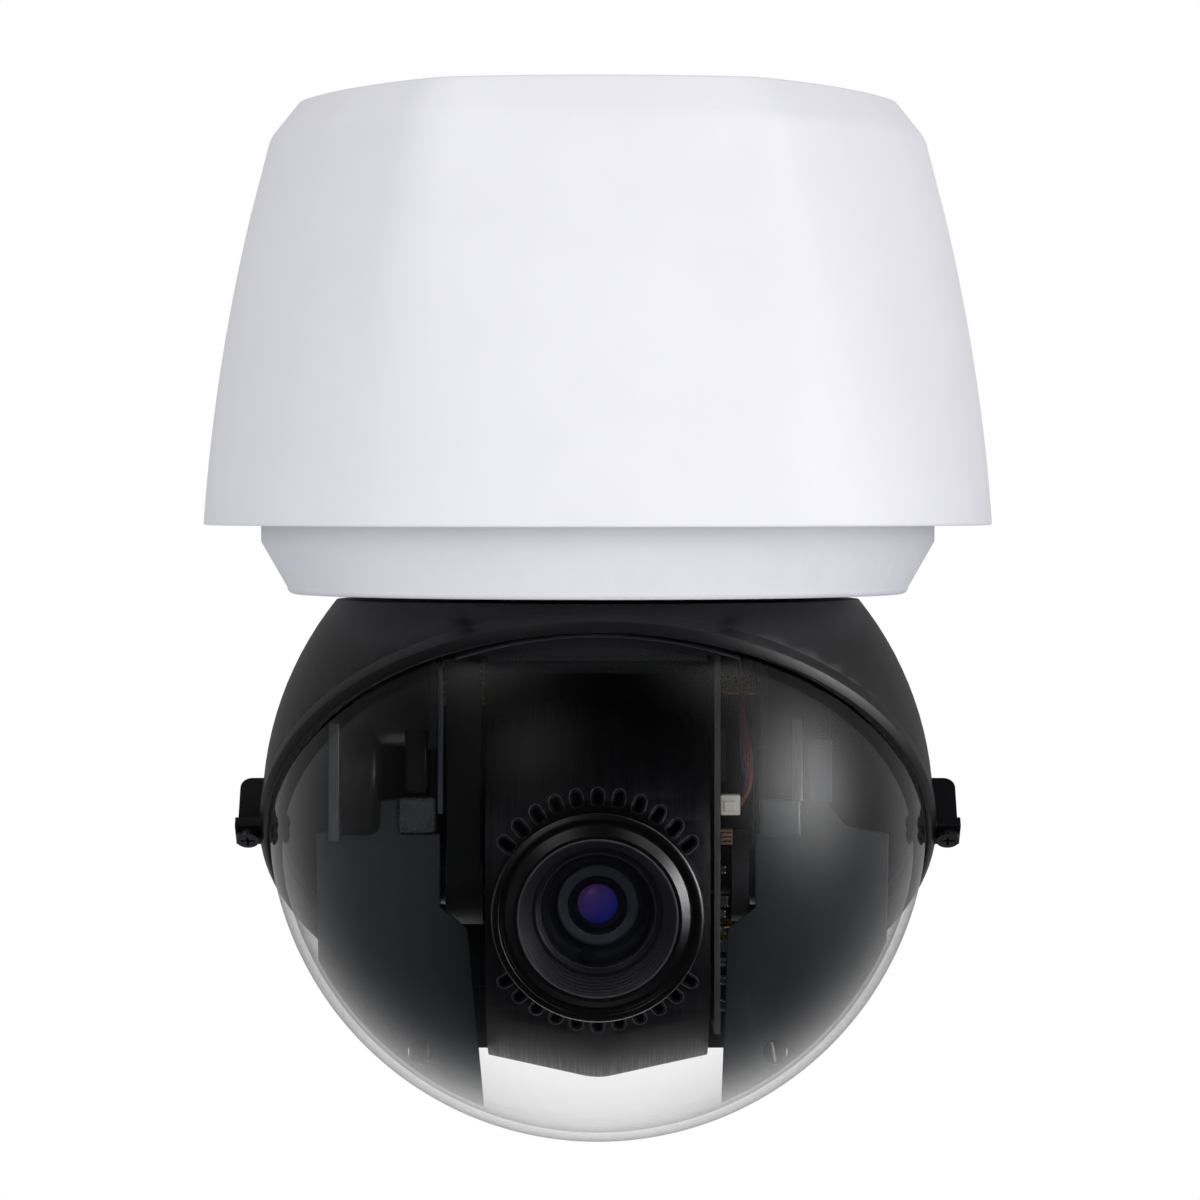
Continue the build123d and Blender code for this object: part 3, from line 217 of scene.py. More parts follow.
def make_materials():
    """Every finish by its name."""
    made = {name: grained(name, *look, **extra) for name, (*look, extra) in GRAINED.items()}
    # Polycarbonate, blow-moulded and hard-coated: colourless with sharp reflections.
    made["polycarbonate_clear"] = clear("polycarbonate_clear", "#FFFFFF", 0.010, 0.02)
    # Optical glass with an anti-reflection coat: faintly blue, almost without gloss.
    made["optical_glass"] = clear("optical_glass", "#F4F6FB", 0.02, 0.01)
    made["coated_lens_violet"] = coated_lens("coated_lens_violet")
    made["brushed_anodised_black"] = brushed("brushed_anodised_black")
    return made


def coated_lens(name):
    """Coated optical glass seen over a dark barrel: a sharp blue-violet coat over a deep violet body whose
    colour runs from purple to blue across the lens, a painted reflection of the coating.
    """
    material, tree, out = new_material(name)
    # Painted reflection of the coating: purple towards the upper left and blue towards the lower right, by
    # height less distance to the right.
    blue_at, purple_at = TILT_Z - 9 * MM, TILT_Z + 3 * MM
    coords = add(tree, "ShaderNodeTexCoord").outputs["Object"]
    place = add(tree, "ShaderNodeSeparateXYZ", inputs={0: coords}).outputs
    slope = add(tree, "ShaderNodeMath", {"operation": "SUBTRACT"}, {0: place["Z"], 1: place["X"]}).outputs[0]
    share = add(tree, "ShaderNodeMapRange",
                inputs={"Value": slope, "From Min": blue_at, "From Max": purple_at}).outputs[0]
    ramp = add(tree, "ShaderNodeValToRGB", inputs={"Fac": share})
    ramp.color_ramp.elements[0].color = linear("#2A3578")
    ramp.color_ramp.elements[1].color = linear("#6A4468")
    shader = add(tree, "ShaderNodeBsdfPrincipled", inputs={
        "Base Color": ramp.outputs[0], "Roughness": 0.12, "Coat Weight": 1.0, "Coat Roughness": 0.01})
    shader.inputs["Coat Tint"].default_value = linear("#D0CCFF")
    tree.links.new(shader.outputs[0], out.inputs["Surface"])
    return material


def brushed(name):
    """Black anodised aluminium brushed round the drum: upright hairlines over broader soft streaks.

    Real hairlines are under 0.1 mm apart. These are drawn 0.35 mm apart, to show at arm's length.
    """
    material, tree, out = new_material(name)
    hairline_mm, streak_mm = 0.35, 2.4
    lines = object_noise(tree, hairline_mm, 2.0, (1.0, 0.012, 0.012))
    broad = object_noise(tree, streak_mm, 2.0, (1.0, 0.05, 0.05))
    mixed = add(tree, "ShaderNodeMath", {"operation": "MULTIPLY_ADD"}, {0: broad, 1: 0.5, 2: lines}).outputs[0]
    tone = spread(tree, mixed, 0.0, 1.0, middle=(0.45, 1.05))
    colour = add(tree, "ShaderNodeMix", {"data_type": "RGBA"},
                 {"Factor": tone, "A": linear("#131316"), "B": linear("#27272B")}).outputs["Result"]
    roughness = spread(tree, lines, 0.34, 0.52)
    height = add(tree, "ShaderNodeBump", inputs={"Height": mixed, "Strength": 0.25, "Distance": 0.1 * MM})
    shader = add(tree, "ShaderNodeBsdfPrincipled", inputs={
        "Base Color": colour, "Roughness": roughness, "Metallic": 0.75, "Normal": height.outputs[0]})
    tree.links.new(shader.outputs[0], out.inputs["Surface"])
    return material


MATERIALS = make_materials()
FINISH = {
    "base_cover": "powder_coat_white", "base_housing": "powder_coat_white",
    "mount_collar": "powder_coat_white", "sun_hood": "abs_white_moulded", "head_shell": "abs_black_satin",
    "bubble_ring": "abs_black_satin", "dome_bubble": "polycarbonate_clear",
    "ring_screws": "black_oxide_screw", "core_screw": "zinc_plated_sheet",
    "shroud_screws": "black_oxide_screw", "hood_screws": "stainless_steel",
    "collar_screws": "stainless_steel", "cover_screws": "stainless_steel", "hub_screws": "stainless_steel",
    "cable_gland": "chloroprene_rubber", "cover_gasket": "chloroprene_rubber",
    "bubble_gasket": "chloroprene_rubber", "pan_seal": "chloroprene_rubber",
    "tilt_belt": "chloroprene_rubber", "bearing_outer_ring": "ground_bearing_steel",
    "bearing_inner_ring": "ground_bearing_steel", "bearing_balls": "ground_bearing_steel",
    "tilt_bearings": "black_oxide_screw", "guide_rods": "ground_bearing_steel",
    "pan_motor": "motor_black_paint", "tilt_motor": "motor_black_paint",
    "motor_bracket": "zinc_plated_sheet", "slip_ring_stator": "epoxy_black",
    "slip_ring_rotor": "epoxy_black", "main_board": "solder_mask_green", "head_board": "solder_mask_green",
    "image_sensor": "solder_mask_green", "main_board_parts": "epoxy_black",
    "head_board_parts": "epoxy_black", "board_standoffs": "turned_brass", "board_posts": "turned_brass",
    "pan_pinion": "turned_brass", "tilt_motor_pulley": "turned_brass", "pan_gear": "nylon_natural",
    "pan_hub": "brushed_anodised_black", "yoke_frame": "black_oxide_sheet",
    "top_baffle": "black_oxide_sheet", "left_side_panel": "nylon_charcoal_matte",
    "right_side_panel": "nylon_charcoal_matte", "tilt_pulley": "epoxy_black", "encoder_disc": "epoxy_black",
    "wire_harness": "pvc_brown", "tilt_frame": "black_oxide_sheet", "camera_block": "black_oxide_sheet",
    "zoom_carriage": "epoxy_black", "focus_carriage": "epoxy_black", "zoom_lens": "coated_lens_violet",
    "focus_lens": "coated_lens_violet", "inner_lens": "coated_lens_violet", "front_lens": "optical_glass",
    "lens_barrel": "abs_black_satin", "lens_core": "epoxy_black", "lens_bezel": "abs_piano_black",
    "lens_shroud": "brushed_anodised_black", "rear_shroud": "brushed_anodised_black",
}


def finish_nodes():
    """Gives each CAD node its finish: these show where no finer piece stands for them."""
    for name, obj in frame["nodes"].items():
        obj.data.materials.clear()
        obj.data.materials.append(MATERIALS[FINISH[name]])


# ---------------------------------------------------------------- surfaces
GRID_CREASE, COPY_CREASE, TURNED_CREASE = (math.radians(angle) for angle in (40, 35, 38))
WELD = 0.001 * MM  # points closer than this are one


def surface(name, points, body, material, close_u=True, close_v=False):
    """A mesh from a grid of points: rows run along u and columns along v, each open or closed."""
    rows, columns = points.shape[:2]
    index = np.arange(rows * columns).reshape(rows, columns)
    down = np.roll(index, -1, axis=0) if close_u else index[1:]
    here = index if close_u else index[:-1]
    if close_v:
        quads = np.stack([here, np.roll(here, -1, axis=1), np.roll(down, -1, axis=1), down], axis=-1)
    else:
        quads = np.stack([here[:, :-1], here[:, 1:], down[:, 1:], down[:, :-1]], axis=-1)
    mesh = bpy.data.meshes.new(name)
    mesh.from_pydata(points.reshape(-1, 3).tolist(), [], quads.reshape(-1, 4).tolist())
    mesh.shade_smooth()
    mesh.set_sharp_from_angle(angle=GRID_CREASE)
    mesh.update()
    piece = bpy.data.objects.new(name, mesh)
    bpy.context.scene.collection.objects.link(piece)
    mesh.materials.append(MATERIALS[material])
    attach(piece, body)
    return piece


def rounded(corners, segments=6):
    """A closed outline of (x, y, radius) corners, each turned into a curve.

    The curve is a parabola that starts and ends where an arc of that radius would touch the two sides,
    or just short of the sides' middles where they are too short for it.
    """
    share = 0.49
    made = []
    for i, (x, y, radius) in enumerate(corners):
        here = np.array([x, y])
        if radius <= 0:
            made.append(here[None])
            continue
        before = np.array(corners[i - 1][:2]) - here
        after = np.array(corners[(i + 1) % len(corners)][:2]) - here
        before_long, after_long = np.linalg.norm(before), np.linalg.norm(after)
        before_unit, after_unit = before / before_long, after / after_long
        half = math.acos(np.clip(before_unit @ after_unit, -1, 1)) / 2
        reach = min(radius / math.tan(half), share * before_long, share * after_long)
        start, end = here + before_unit * reach, here + after_unit * reach
        t = np.linspace(0, 1, segments)[:, None]
        made.append((1 - t) ** 2 * start + 2 * t * (1 - t) * here + t**2 * end)
    return np.concatenate(made)


HOOD_WALL = 3 * MM
HOOD_HOLE_R, HOOD_RIM_R, HOOD_SHOULDER_R = 42 * MM, 82 * MM, 90.4 * MM
HOOD_SHOULDER_DROP = 10.4 * MM      # from the flat top down to the shoulder
HOOD_BOW = 2.9 * MM                 # how far the flank stands out over a straight chord
HEX_AT_MOUTH, HEX_MORE_AT_TOP = 0.10, 0.42
HEX_FADE = 30 * MM                  # the hexagon fades in over this much beyond the hole
HEX_SOFT = 4.5                      # degrees to each side over which the hexagon's corners are averaged


def hex_share(angle):
    """Radius of a hexagon of circumradius 1, facets facing front and back, averaged over HEX_SOFT."""
    offsets = np.radians(np.linspace(-HEX_SOFT, HEX_SOFT, 11))
    sixth = math.pi / 6
    turned = (angle[..., None] + offsets + sixth) % (2 * sixth) - sixth
    return (math.cos(sixth) / np.cos(turned)).mean(axis=-1)


def build_hood():
    """The sun hood: its outline turned about Z, with each circle pulled towards a soft hexagon.

    The flank is a straight chord plus a bow of 4 t (1 - t). The pull grows from the mouth to the top.
    """
    mouth, top, mouth_r = hood_low[2], hood_high[2], hood_high[0]
    shoulder_z = top - HOOD_SHOULDER_DROP
    inside_r, inside_top = mouth_r - HOOD_WALL, top - HOOD_WALL
    t = np.linspace(0, 1, 40)
    flank_z = shoulder_z + (mouth - shoulder_z) * t
    flank_r = HOOD_SHOULDER_R + (mouth_r - HOOD_SHOULDER_R) * t + HOOD_BOW * 4 * t * (1 - t)
    flank = np.stack([flank_r, flank_z], axis=-1)[1:-1]
    first, last = 6, -3  # the flank's points where the curves of the shoulder and the lip end
    shoulder = rounded([(HOOD_HOLE_R, top, 0), (HOOD_RIM_R, top, 2.5 * MM),
                        (HOOD_SHOULDER_R, shoulder_z, 9 * MM), (*flank[first], 0)], 10)[:-1]
    lip = rounded([(*flank[last], 0), (mouth_r, mouth, 0.8 * MM), (inside_r, mouth, 0.6 * MM),
                   (inside_r, mouth + 8 * MM, 0)], 6)[1:-1]
    inner = flank[::-1] - [HOOD_WALL, 0]
    ceiling = np.array([[HOOD_SHOULDER_R - HOOD_WALL, shoulder_z - HOOD_WALL / 2],
                        [HOOD_RIM_R - HOOD_WALL / 2, inside_top], [HOOD_HOLE_R, inside_top]])
    profile = np.concatenate([shoulder, flank[first + 1:last + 1], lip, inner[2:-1], ceiling])
    angle = np.linspace(0, math.tau, 360, endpoint=False)
    height = np.clip((profile[:, 1] - mouth) / (top - mouth), 0, 1)
    fade = np.clip((profile[:, 0] - HOOD_HOLE_R) / HEX_FADE, 0, 1)
    pull = (HEX_AT_MOUTH + HEX_MORE_AT_TOP * height) * fade
    radius = profile[None, :, 0] * (1 - pull[None] * (1 - hex_share(angle)[:, None]))
    points = np.stack([radius * np.sin(angle)[:, None], -radius * np.cos(angle)[:, None],
                       np.broadcast_to(profile[None, :, 1], radius.shape)], axis=-1)
    hood = surface("hood_shell", points[::-1], "base", "abs_white_moulded", True, True)
    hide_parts("sun_hood")
    return hood


LUG_SIDE, LUG_END = 98.1, -8.0  # mm: a lug's outer face from the middle, and its end along the bubble's axis
LUG_FROM = 96.0                 # mm: a face that reaches past this belongs to a lug
LUG_ROUND = 3.2 * MM


def round_lugs(work):
    """Rounds the outer corner at the end of each side lug: the edges with both points at that corner."""
    def at_corner(vert):
        along = (np.array(vert.co) - SPHERE) @ BUBBLE_AXIS / MM
        return abs(abs(vert.co.x) / MM - LUG_SIDE) < 0.05 and abs(along - LUG_END) < 1.0

    corners = [edge for edge in work.edges if all(at_corner(vert) for vert in edge.verts)]
    round_edges(work, corners, LUG_ROUND, 6)


def round_edges(work, edges, width, segments):
    """Rounds edges to an arc of the given width (m)."""
    bmesh.ops.bevel(work, geom=edges, offset=width, offset_type="OFFSET", segments=segments, profile=0.5,
                    affect="EDGES", clamp_overlap=True)


def softened(node, name, body, material, slot, width=0.3):
    """A copy of a CAD node: doubles merged, flat faces joined, and each sharp edge rounded by width (mm).

    The shell and its ring have side lugs. Their faces take a darker copy of the black, as painted shade.
    """
    weld, flat, sharp_from = 2e-6, math.radians(1), math.radians(30)
    mesh = frame["nodes"][node].data.copy()
    mesh.name = name
    work = bmesh.new()
    work.from_mesh(mesh)
    bmesh.ops.remove_doubles(work, verts=work.verts, dist=weld)
    bmesh.ops.dissolve_degenerate(work, edges=work.edges, dist=weld)
    bmesh.ops.dissolve_limit(work, verts=work.verts, edges=work.edges, angle_limit=flat)
    if node == "head_shell":
        round_lugs(work)
    sharp = [edge for edge in work.edges if len(edge.link_faces) == 2 and edge.calc_face_angle(0) > sharp_from]
    round_edges(work, sharp, width * MM, 2)
    work.to_mesh(mesh)
    work.free()
    mesh.materials.clear()
    mesh.materials.append(MATERIALS[material])
    # The lug faces get the darker copy of the black: painted shade.
    if node in ("head_shell", "bubble_ring"):
        mesh.materials.append(MATERIALS["abs_black_painted_shade"])
        for face in mesh.polygons:
            farthest = max(abs(mesh.vertices[i].co.x) for i in face.vertices) / MM
            face.material_index = int(farthest > LUG_FROM)
    mesh.shade_smooth()
    mesh.set_sharp_from_angle(angle=COPY_CREASE)
    piece = bpy.data.objects.new(name, mesh)
    bpy.context.scene.collection.objects.link(piece)
    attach(piece, body)
    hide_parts(node)
    return piece


# CAD node, the copy's name, body, finish, slot and the width of its rounded edges (mm).
COPIES = (
    ("base_cover", "lower_cover", "base", "powder_coat_white", "white_cast", 0.6),
    ("head_shell", "upper_shell", "head", "abs_black_satin", "shell_black", 0.3),
    ("bubble_ring", "clamp_ring", "head", "abs_black_satin", "shell_black", 0.25),
    ("left_side_panel", "left_shield", "head", "nylon_charcoal_matte", "panel_charcoal", 0.3),
    ("right_side_panel", "right_shield", "head", "nylon_charcoal_matte", "panel_charcoal", 0.3),
    ("yoke_frame", "yoke", "head", "black_oxide_sheet", "yoke_metal", 0.2),
    ("lens_shroud", "front_shroud", "camera", "brushed_anodised_black", "shroud_black", 0.2),
    ("rear_shroud", "back_shroud", "camera", "brushed_anodised_black", "shroud_black", 0.2),
)


def build_bubble():
    """The bubble: two concentric sphere caps about the bubble's axis, joined at the rim.

    A cap's angle runs from 0 at the pole to the rim, whose plane is the seat's height from the centre.
    """
    wall, seat = 2.5 * MM, 8.0 * MM
    side = np.array([1.0, 0.0, 0.0])
    up = np.cross(BUBBLE_AXIS, side)
    columns = []
    for radius, order in ((BUBBLE_R, 1), (BUBBLE_R - wall, -1)):
        polar = np.linspace(0.0, math.acos(seat / radius), 90)[::order]
        columns.append(np.stack([radius * np.sin(polar), radius * np.cos(polar)], axis=-1))
    columns[0][0, 0] = columns[1][-1, 0] = 0.0  # both poles exactly on the axis
    profile = np.concatenate(columns)
    angle = np.linspace(0, math.tau, 256, endpoint=False)[:, None, None]
    around = np.cos(angle) * side + np.sin(angle) * up
    points = SPHERE + profile[None, :, :1] * around + profile[None, :, 1:] * BUBBLE_AXIS
    bubble = surface("clear_bubble", points[::-1], "head", "polycarbonate_clear")
    merge_poles(bubble)
    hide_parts("dome_bubble")
    return bubble


def merge_poles(piece):
    """Welds the points that meet at a pole."""
    work = bmesh.new()
    work.from_mesh(piece.data)
    bmesh.ops.remove_doubles(work, verts=work.verts, dist=WELD)
    bmesh.ops.recalc_face_normals(work, faces=work.faces)
    work.to_mesh(piece.data)
    work.free()
    piece.data.shade_smooth()


def lens_space(local):
    """Millimetres right, up and forward of the tilt axis, in the lens's own directions."""
    local = np.asarray(local) * MM
    return TILT + local[..., :1] * X_AXIS + local[..., 1:2] * UP + local[..., 2:3] * LENS_AXIS


def upright(local):
    """Millimetres about the tilt axis, x right, y back and z up, in the shared frame."""
    return TILT + np.asarray(local) * MM


def along_x(local):
    """A lathe's (x, y, height) turned so that its height runs along X, about the tilt axis."""
    local = np.asarray(local)
    return TILT + np.stack([local[..., 2], local[..., 1], local[..., 0]], axis=-1) * MM


def finished(piece, replaced=()):
    """Normals turned outwards, doubles merged and sharp edges marked, then the nodes it stands for hidden."""
    merge_poles(piece)
    piece.data.set_sharp_from_angle(angle=TURNED_CREASE)
    if replaced:
        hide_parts(*replaced)
    return piece


def lathe(name, outline, body, material, place=lens_space, replaced=(), sides=144):
    """A ring turned from a closed (radius, height) outline in mm: x = r sin a, y = r cos a, z = height."""
    outline = np.asarray(outline, dtype=float)
    angle = np.linspace(0, math.tau, sides, endpoint=False)[:, None]
    radius = outline[None, :, 0]
    points = np.stack([radius * np.sin(angle), radius * np.cos(angle),
                       np.broadcast_to(outline[None, :, 1], (sides, len(outline)))], axis=-1)
    return finished(surface(name, place(points), body, material, True, True), replaced)


def block(name, low, high, radius, body, material, slot, place=upright, replaced=()):
    """A box with round edges: each direction of a ball, pushed out from the nearest corner's centre.

    The flat faces open between pairs of directions just before and just after each of the ball's axes.
    """
    low, high = np.asarray(low, dtype=float), np.asarray(high, dtype=float)
    tilts = (-90, -70, -45, -20, -0.01, 0.01, 20, 45, 70, 90)
    turns = [quarter * 90 + turn for quarter in range(4) for turn in (0.01, 22, 45, 68, 89.99)]
    tilt, turn = np.meshgrid(np.radians(tilts), np.radians(turns))
    ball = np.stack([np.cos(tilt) * np.cos(turn), np.cos(tilt) * np.sin(turn), np.sin(tilt)], axis=-1)
    side = np.sign(ball) * (np.abs(ball) > 1e-9)
    corner = (low + high) / 2 + side * ((high - low) / 2 - radius)
    shape = corner + radius * ball
    return finished(surface(name, place(shape), body, material, True, False), replaced)


def rod(name, path, radius, body, material, place=upright, sides=12, replaced=(), closed=False):
    """A round rod along a path: at each point, a circle square to the path's own direction."""
    path = place(np.asarray(path, dtype=float))
    ahead = np.roll(path, -1, axis=0) - np.roll(path, 1, axis=0)
    if not closed:
        ahead[0], ahead[-1] = path[1] - path[0], path[-1] - path[-2]
    ahead /= np.linalg.norm(ahead, axis=1, keepdims=True)
    mostly_x = np.abs(ahead[:, :1]) > 0.9
    helper = np.where(mostly_x, [[0.0, 1.0, 0.0]], [[1.0, 0.0, 0.0]])
    side = np.cross(ahead, helper)
    side /= np.linalg.norm(side, axis=1, keepdims=True)
    up = np.cross(side, ahead)
    angle = np.linspace(0, math.tau, sides, endpoint=False)[None, :, None]
    points = path[:, None] + radius * MM * (np.cos(angle) * side[:, None] + np.sin(angle) * up[:, None])
    if not closed:
        caps = [np.broadcast_to(end[:, None], points[:1].shape) for end in (path[:1], path[-1:])]
        points = np.concatenate([caps[0], points, caps[1]])
    return finished(surface(name, points, body, material, closed, True), replaced)


def bent(knots, count=60):
    """A smooth curve near its knots: a uniform cubic B-spline clamped at both ends."""
    knots = np.asarray(knots, dtype=float)
    knots = np.concatenate([knots[:1], knots[:1], knots, knots[-1:], knots[-1:]])
    t = np.linspace(0, len(knots) - 3 - 1e-6, count)
    i = t.astype(int)
    f = (t - i)[:, None]
    weights = ((1 - f) ** 3, 3 * f**3 - 6 * f**2 + 4, -3 * f**3 + 3 * f**2 + 3 * f + 1, f**3)
    return sum(w * knots[i + k] for k, w in enumerate(weights)) / 6


# ---------------------------------------------------------------- lens
# Millimetres: radii from the lens axis, and distances forward of the tilt axis.
DRUM_R, DRUM_EDGE_R, DRUM_HALF, DRUM_DROP = 52.5, 46.0, 29.8, 3.0
DRUM_SLOPE = (DRUM_R - DRUM_EDGE_R) / DRUM_HALF
RIDGE = 2.0  # the drum's middle is rounded over about this much to each side
BEZEL_R, BEZEL_BORE_R, BEZEL_BACK, BEZEL_FRONT = 27.9, 24.3, 38.0, 63.0
MOUTH_R, THROAT_R, CONE_BACK, FLUTES, FLUTE_DEPTH = 20.6, 17.3, 53.0, 6, 0.32
BARREL_R, BORE_R, BARREL_FRONT, CORE_BACK = 18.4, 17.0, 52.5, 38.0
RING_R, CUP_R, PUPIL_R = 10.8, 7.85, 5.4
VENTS, VENT_STEP, VENT_IN, VENT_OUT, VENT_WIDTH, VENT_DROP = 11, 10.6, 25.7, 32.2, 2.2, 2.0
LIP_OUT, LIP_THICK = 0.75, 0.16


def drum_front(u, v):
    """Forward distance of the shroud's face, u to the right and v up: a cone about X whose radius falls by
    the slope from the middle, where the root of u squared plus RIDGE squared rounds its peak.
    """
    radius = DRUM_R - DRUM_SLOPE * np.sqrt(u**2 + RIDGE**2)
    return np.sqrt(radius**2 - (v + DRUM_DROP) ** 2)


def build_bezel():
    """The polished front ring: a rounded rim, a groove, a raised bevel and a fluted cone down to the barrel.

    The cone's radius falls evenly from the mouth to the throat, and every second point is a flute's bed.
    """
    bevel_r, groove_r, edge_front = 21.9, 24.4, BEZEL_FRONT - 0.9
    step = np.arange(2 * FLUTES + 1)
    t = step / (2 * FLUTES)
    cone_r = MOUTH_R - (MOUTH_R - THROAT_R) * t - FLUTE_DEPTH * (step % 2)
    cone_f = edge_front - (edge_front - CONE_BACK) * t
    rim = rounded([(BEZEL_BORE_R, BEZEL_BACK, 0), (BEZEL_R, BEZEL_BACK, 0), (BEZEL_R, BEZEL_FRONT - 1.6, 1.5),
                   (BEZEL_R - 1.9, BEZEL_FRONT - 1.0, 0.4), (BEZEL_R - 2.7, BEZEL_FRONT - 2.0, 0.3),
                   (groove_r, BEZEL_FRONT - 1.9, 0.3), (bevel_r, BEZEL_FRONT, 0.5),
                   (MOUTH_R, BEZEL_FRONT - 0.3, 0.25)], 5)
    inside = [(MOUTH_R, edge_front), (18.6, CONE_BACK), (19.0, 44.0), (BEZEL_BORE_R, 44.0)]
    lathe("front_bezel", np.concatenate([rim, inside]), "camera", "abs_piano_black",
          replaced=("lens_bezel",), sides=192)
    under = [(18.5, CONE_BACK), (MOUTH_R, BEZEL_FRONT - 1.0)]
    cone = np.concatenate([np.stack([cone_r, cone_f], axis=-1), under])
    lathe("fluted_cone", cone, "camera", "anodised_dark_grey", sides=192)
    # A pale grey bead at the mouth: a painted highlight of the polished edge.
    rod_ring("mouth_highlight_bead", MOUTH_R + 0.2, BEZEL_FRONT - 0.12, 0.28, "anodised_grey_and_painted_highlight")


def rod_ring(name, radius, height, thick, material):
    """A thin bead round the lens axis."""
    angle = np.linspace(0, math.tau, 120, endpoint=False)
    ring = np.stack([radius * np.cos(angle), radius * np.sin(angle), np.full_like(angle, height)], axis=-1)
    rod(name, ring, thick, "camera", material, lens_space, 8, closed=True)


def build_optics():
    """Behind the front lens: a dark plate, a grey ring, a black cup and the coated inner lens."""
    plate = [(BORE_R, CORE_BACK), (BORE_R, 39.6), (16.2, 40.0), (13.4, 40.0), (13.0, 39.7), (12.6, 40.0),
             (10.9, 40.0), (10.9, CORE_BACK)]
    lathe("core_plate", plate, "camera", "anodised_dark_grey", replaced=("lens_core",))
    ring = rounded([(7.9, 39.0, 0), (RING_R, 39.0, 0), (RING_R, 44.0, 0.5), (10.1, 44.3, 0.2),
                    (7.9, 43.7, 0.3)], 5)
    lathe("grey_ring", ring, "camera", "anodised_grey_and_painted_highlight")
    cup = rounded([(PUPIL_R, 38.4, 0), (CUP_R, 38.4, 0), (CUP_R, 43.2, 0.3), (7.3, 43.2, 0.3),
                   (6.4, 42.0, 0.3), (PUPIL_R, 41.8, 0.2)], 4)
    lathe("black_cup", cup, "camera", "anodised_satin_black")
    lathe("coated_lens", convex_outline(PUPIL_R, 39.0, 41.0, 1.5), "camera", "coated_lens_violet",
          replaced=("inner_lens",))
    lathe("front_element", convex_outline(BORE_R - 0.05, 46.5, 50.0, 1.5), "camera", "optical_glass",
          replaced=("front_lens",))
    tube = rounded([(BORE_R, 18.0, 0), (21.4, 18.0, 0), (21.4, 20.0, 0), (BARREL_R, 20.0, 0.2),
                    (BARREL_R, BARREL_FRONT, 0.4), (16.3, BARREL_FRONT, 0.5), (15.2, 51.4, 0.4),
                    (14.6, 50.5, 0.1), (BORE_R, 50.5, 0)], 4)
    lathe("barrel_tube", tube, "camera", "anodised_satin_black", replaced=("lens_barrel",))
    rod_ring("barrel_edge", 15.3, BARREL_FRONT - 0.95, 0.1, "anodised_grey_and_painted_highlight")


def convex_outline(radius, low, high, bulge):
    """A lens's outline from its middle: a front cap whose height falls with the square of the radius."""
    r = np.linspace(0, radius, 14)
    front = np.stack([r, high + bulge * (1 - (r / radius) ** 2)], axis=-1)
    return np.concatenate([front, [(radius, low), (0.0, low)]])


def build_vent_lips():
    """A fine raised lip round each vent slot: two half circles a straight apart, laid on the shroud's face.
    The lip stands for the slot's chamfered border, and its pale grey is a painted highlight of that chamfer.
    """
    wide = VENT_WIDTH / 2
    straight = (VENT_OUT - VENT_IN) / 2 - wide
    reach = wide + LIP_OUT
    bow = np.linspace(-math.pi / 2, math.pi / 2, 10)
    along = np.concatenate([straight + reach * np.cos(bow), -straight - reach * np.cos(bow)])
    across = np.concatenate([reach * np.sin(bow), -reach * np.sin(bow)])
    out = (VENT_IN + VENT_OUT) / 2 + along
    for centre, label in ((90, "upper"), (-90, "lower")):
        for index in range(VENTS):
            turn = math.radians(centre + VENT_STEP * (index - VENTS // 2))
            u = out * math.cos(turn) - across * math.sin(turn)
            v = out * math.sin(turn) + across * math.cos(turn) - VENT_DROP
            path = np.stack([u, v, drum_front(u, v) + 0.03], axis=-1)
            rod(f"vent_highlight_lip_{label}_{index}", path, LIP_THICK, "camera", "anodised_grey_and_painted_highlight",
                lens_space, 6, closed=True)


# ---------------------------------------------------------------- inside the bubble
# Millimetres about the tilt axis: x to the right, y to the back and z up.
BOARD_LOW, BOARD_HIGH = about_tilt("head_board")
BOARD_FACE = BOARD_HIGH[0] + 0.1      # the small parts stand just off the board's outer face
STOP_FRONT, STOP_BACK = -15.6, -11.7
MOTOR_AT = np.array([0.0, -4.0, 27.0])
WIRE_R, WIRE_PITCH = 0.62, 1.7


def build_left_side():
    """Left of the lens: bracket, strips, the motor's end and the smoked stop block."""
    block("bracket_flange", (-43.4, -15.2, 17.9), (-41.95, -9.0, 58), 0.3, "head", "zinc_painted_shade", "yoke_metal")
    block("bracket_strip", (-45.2, -12.6, 40.0), (-43.9, -11.6, 51.5), 0.3, "head", "zinc_plated_sheet",
          "yoke_metal")
    block("stop_block_left", (-54.0, STOP_FRONT, 12.7), (-43.9, STOP_BACK, 22.5), 1.2, "head", "nylon_smoked",
          "board_part")
    block("motor_plate", (-72.6, -22, 11), (-69.6, 8, 43), 0.5, "head", "zinc_painted_shade", "zinc_sheet")
    can = rounded([(0.0, -69.5, 0), (17.5, -69.5, 0.8), (17.5, -59.0, 3.5), (0.0, -59.0, 0)], 8)
    lathe("motor_can", can, "head", "motor_black_paint",
          lambda local: along_x(local) + MOTOR_AT * MM)
    block("cable_cover_left", (-52, -20, 24), (-46, -13, 60), 1.0, "head", "motor_black_paint", "motor_body")


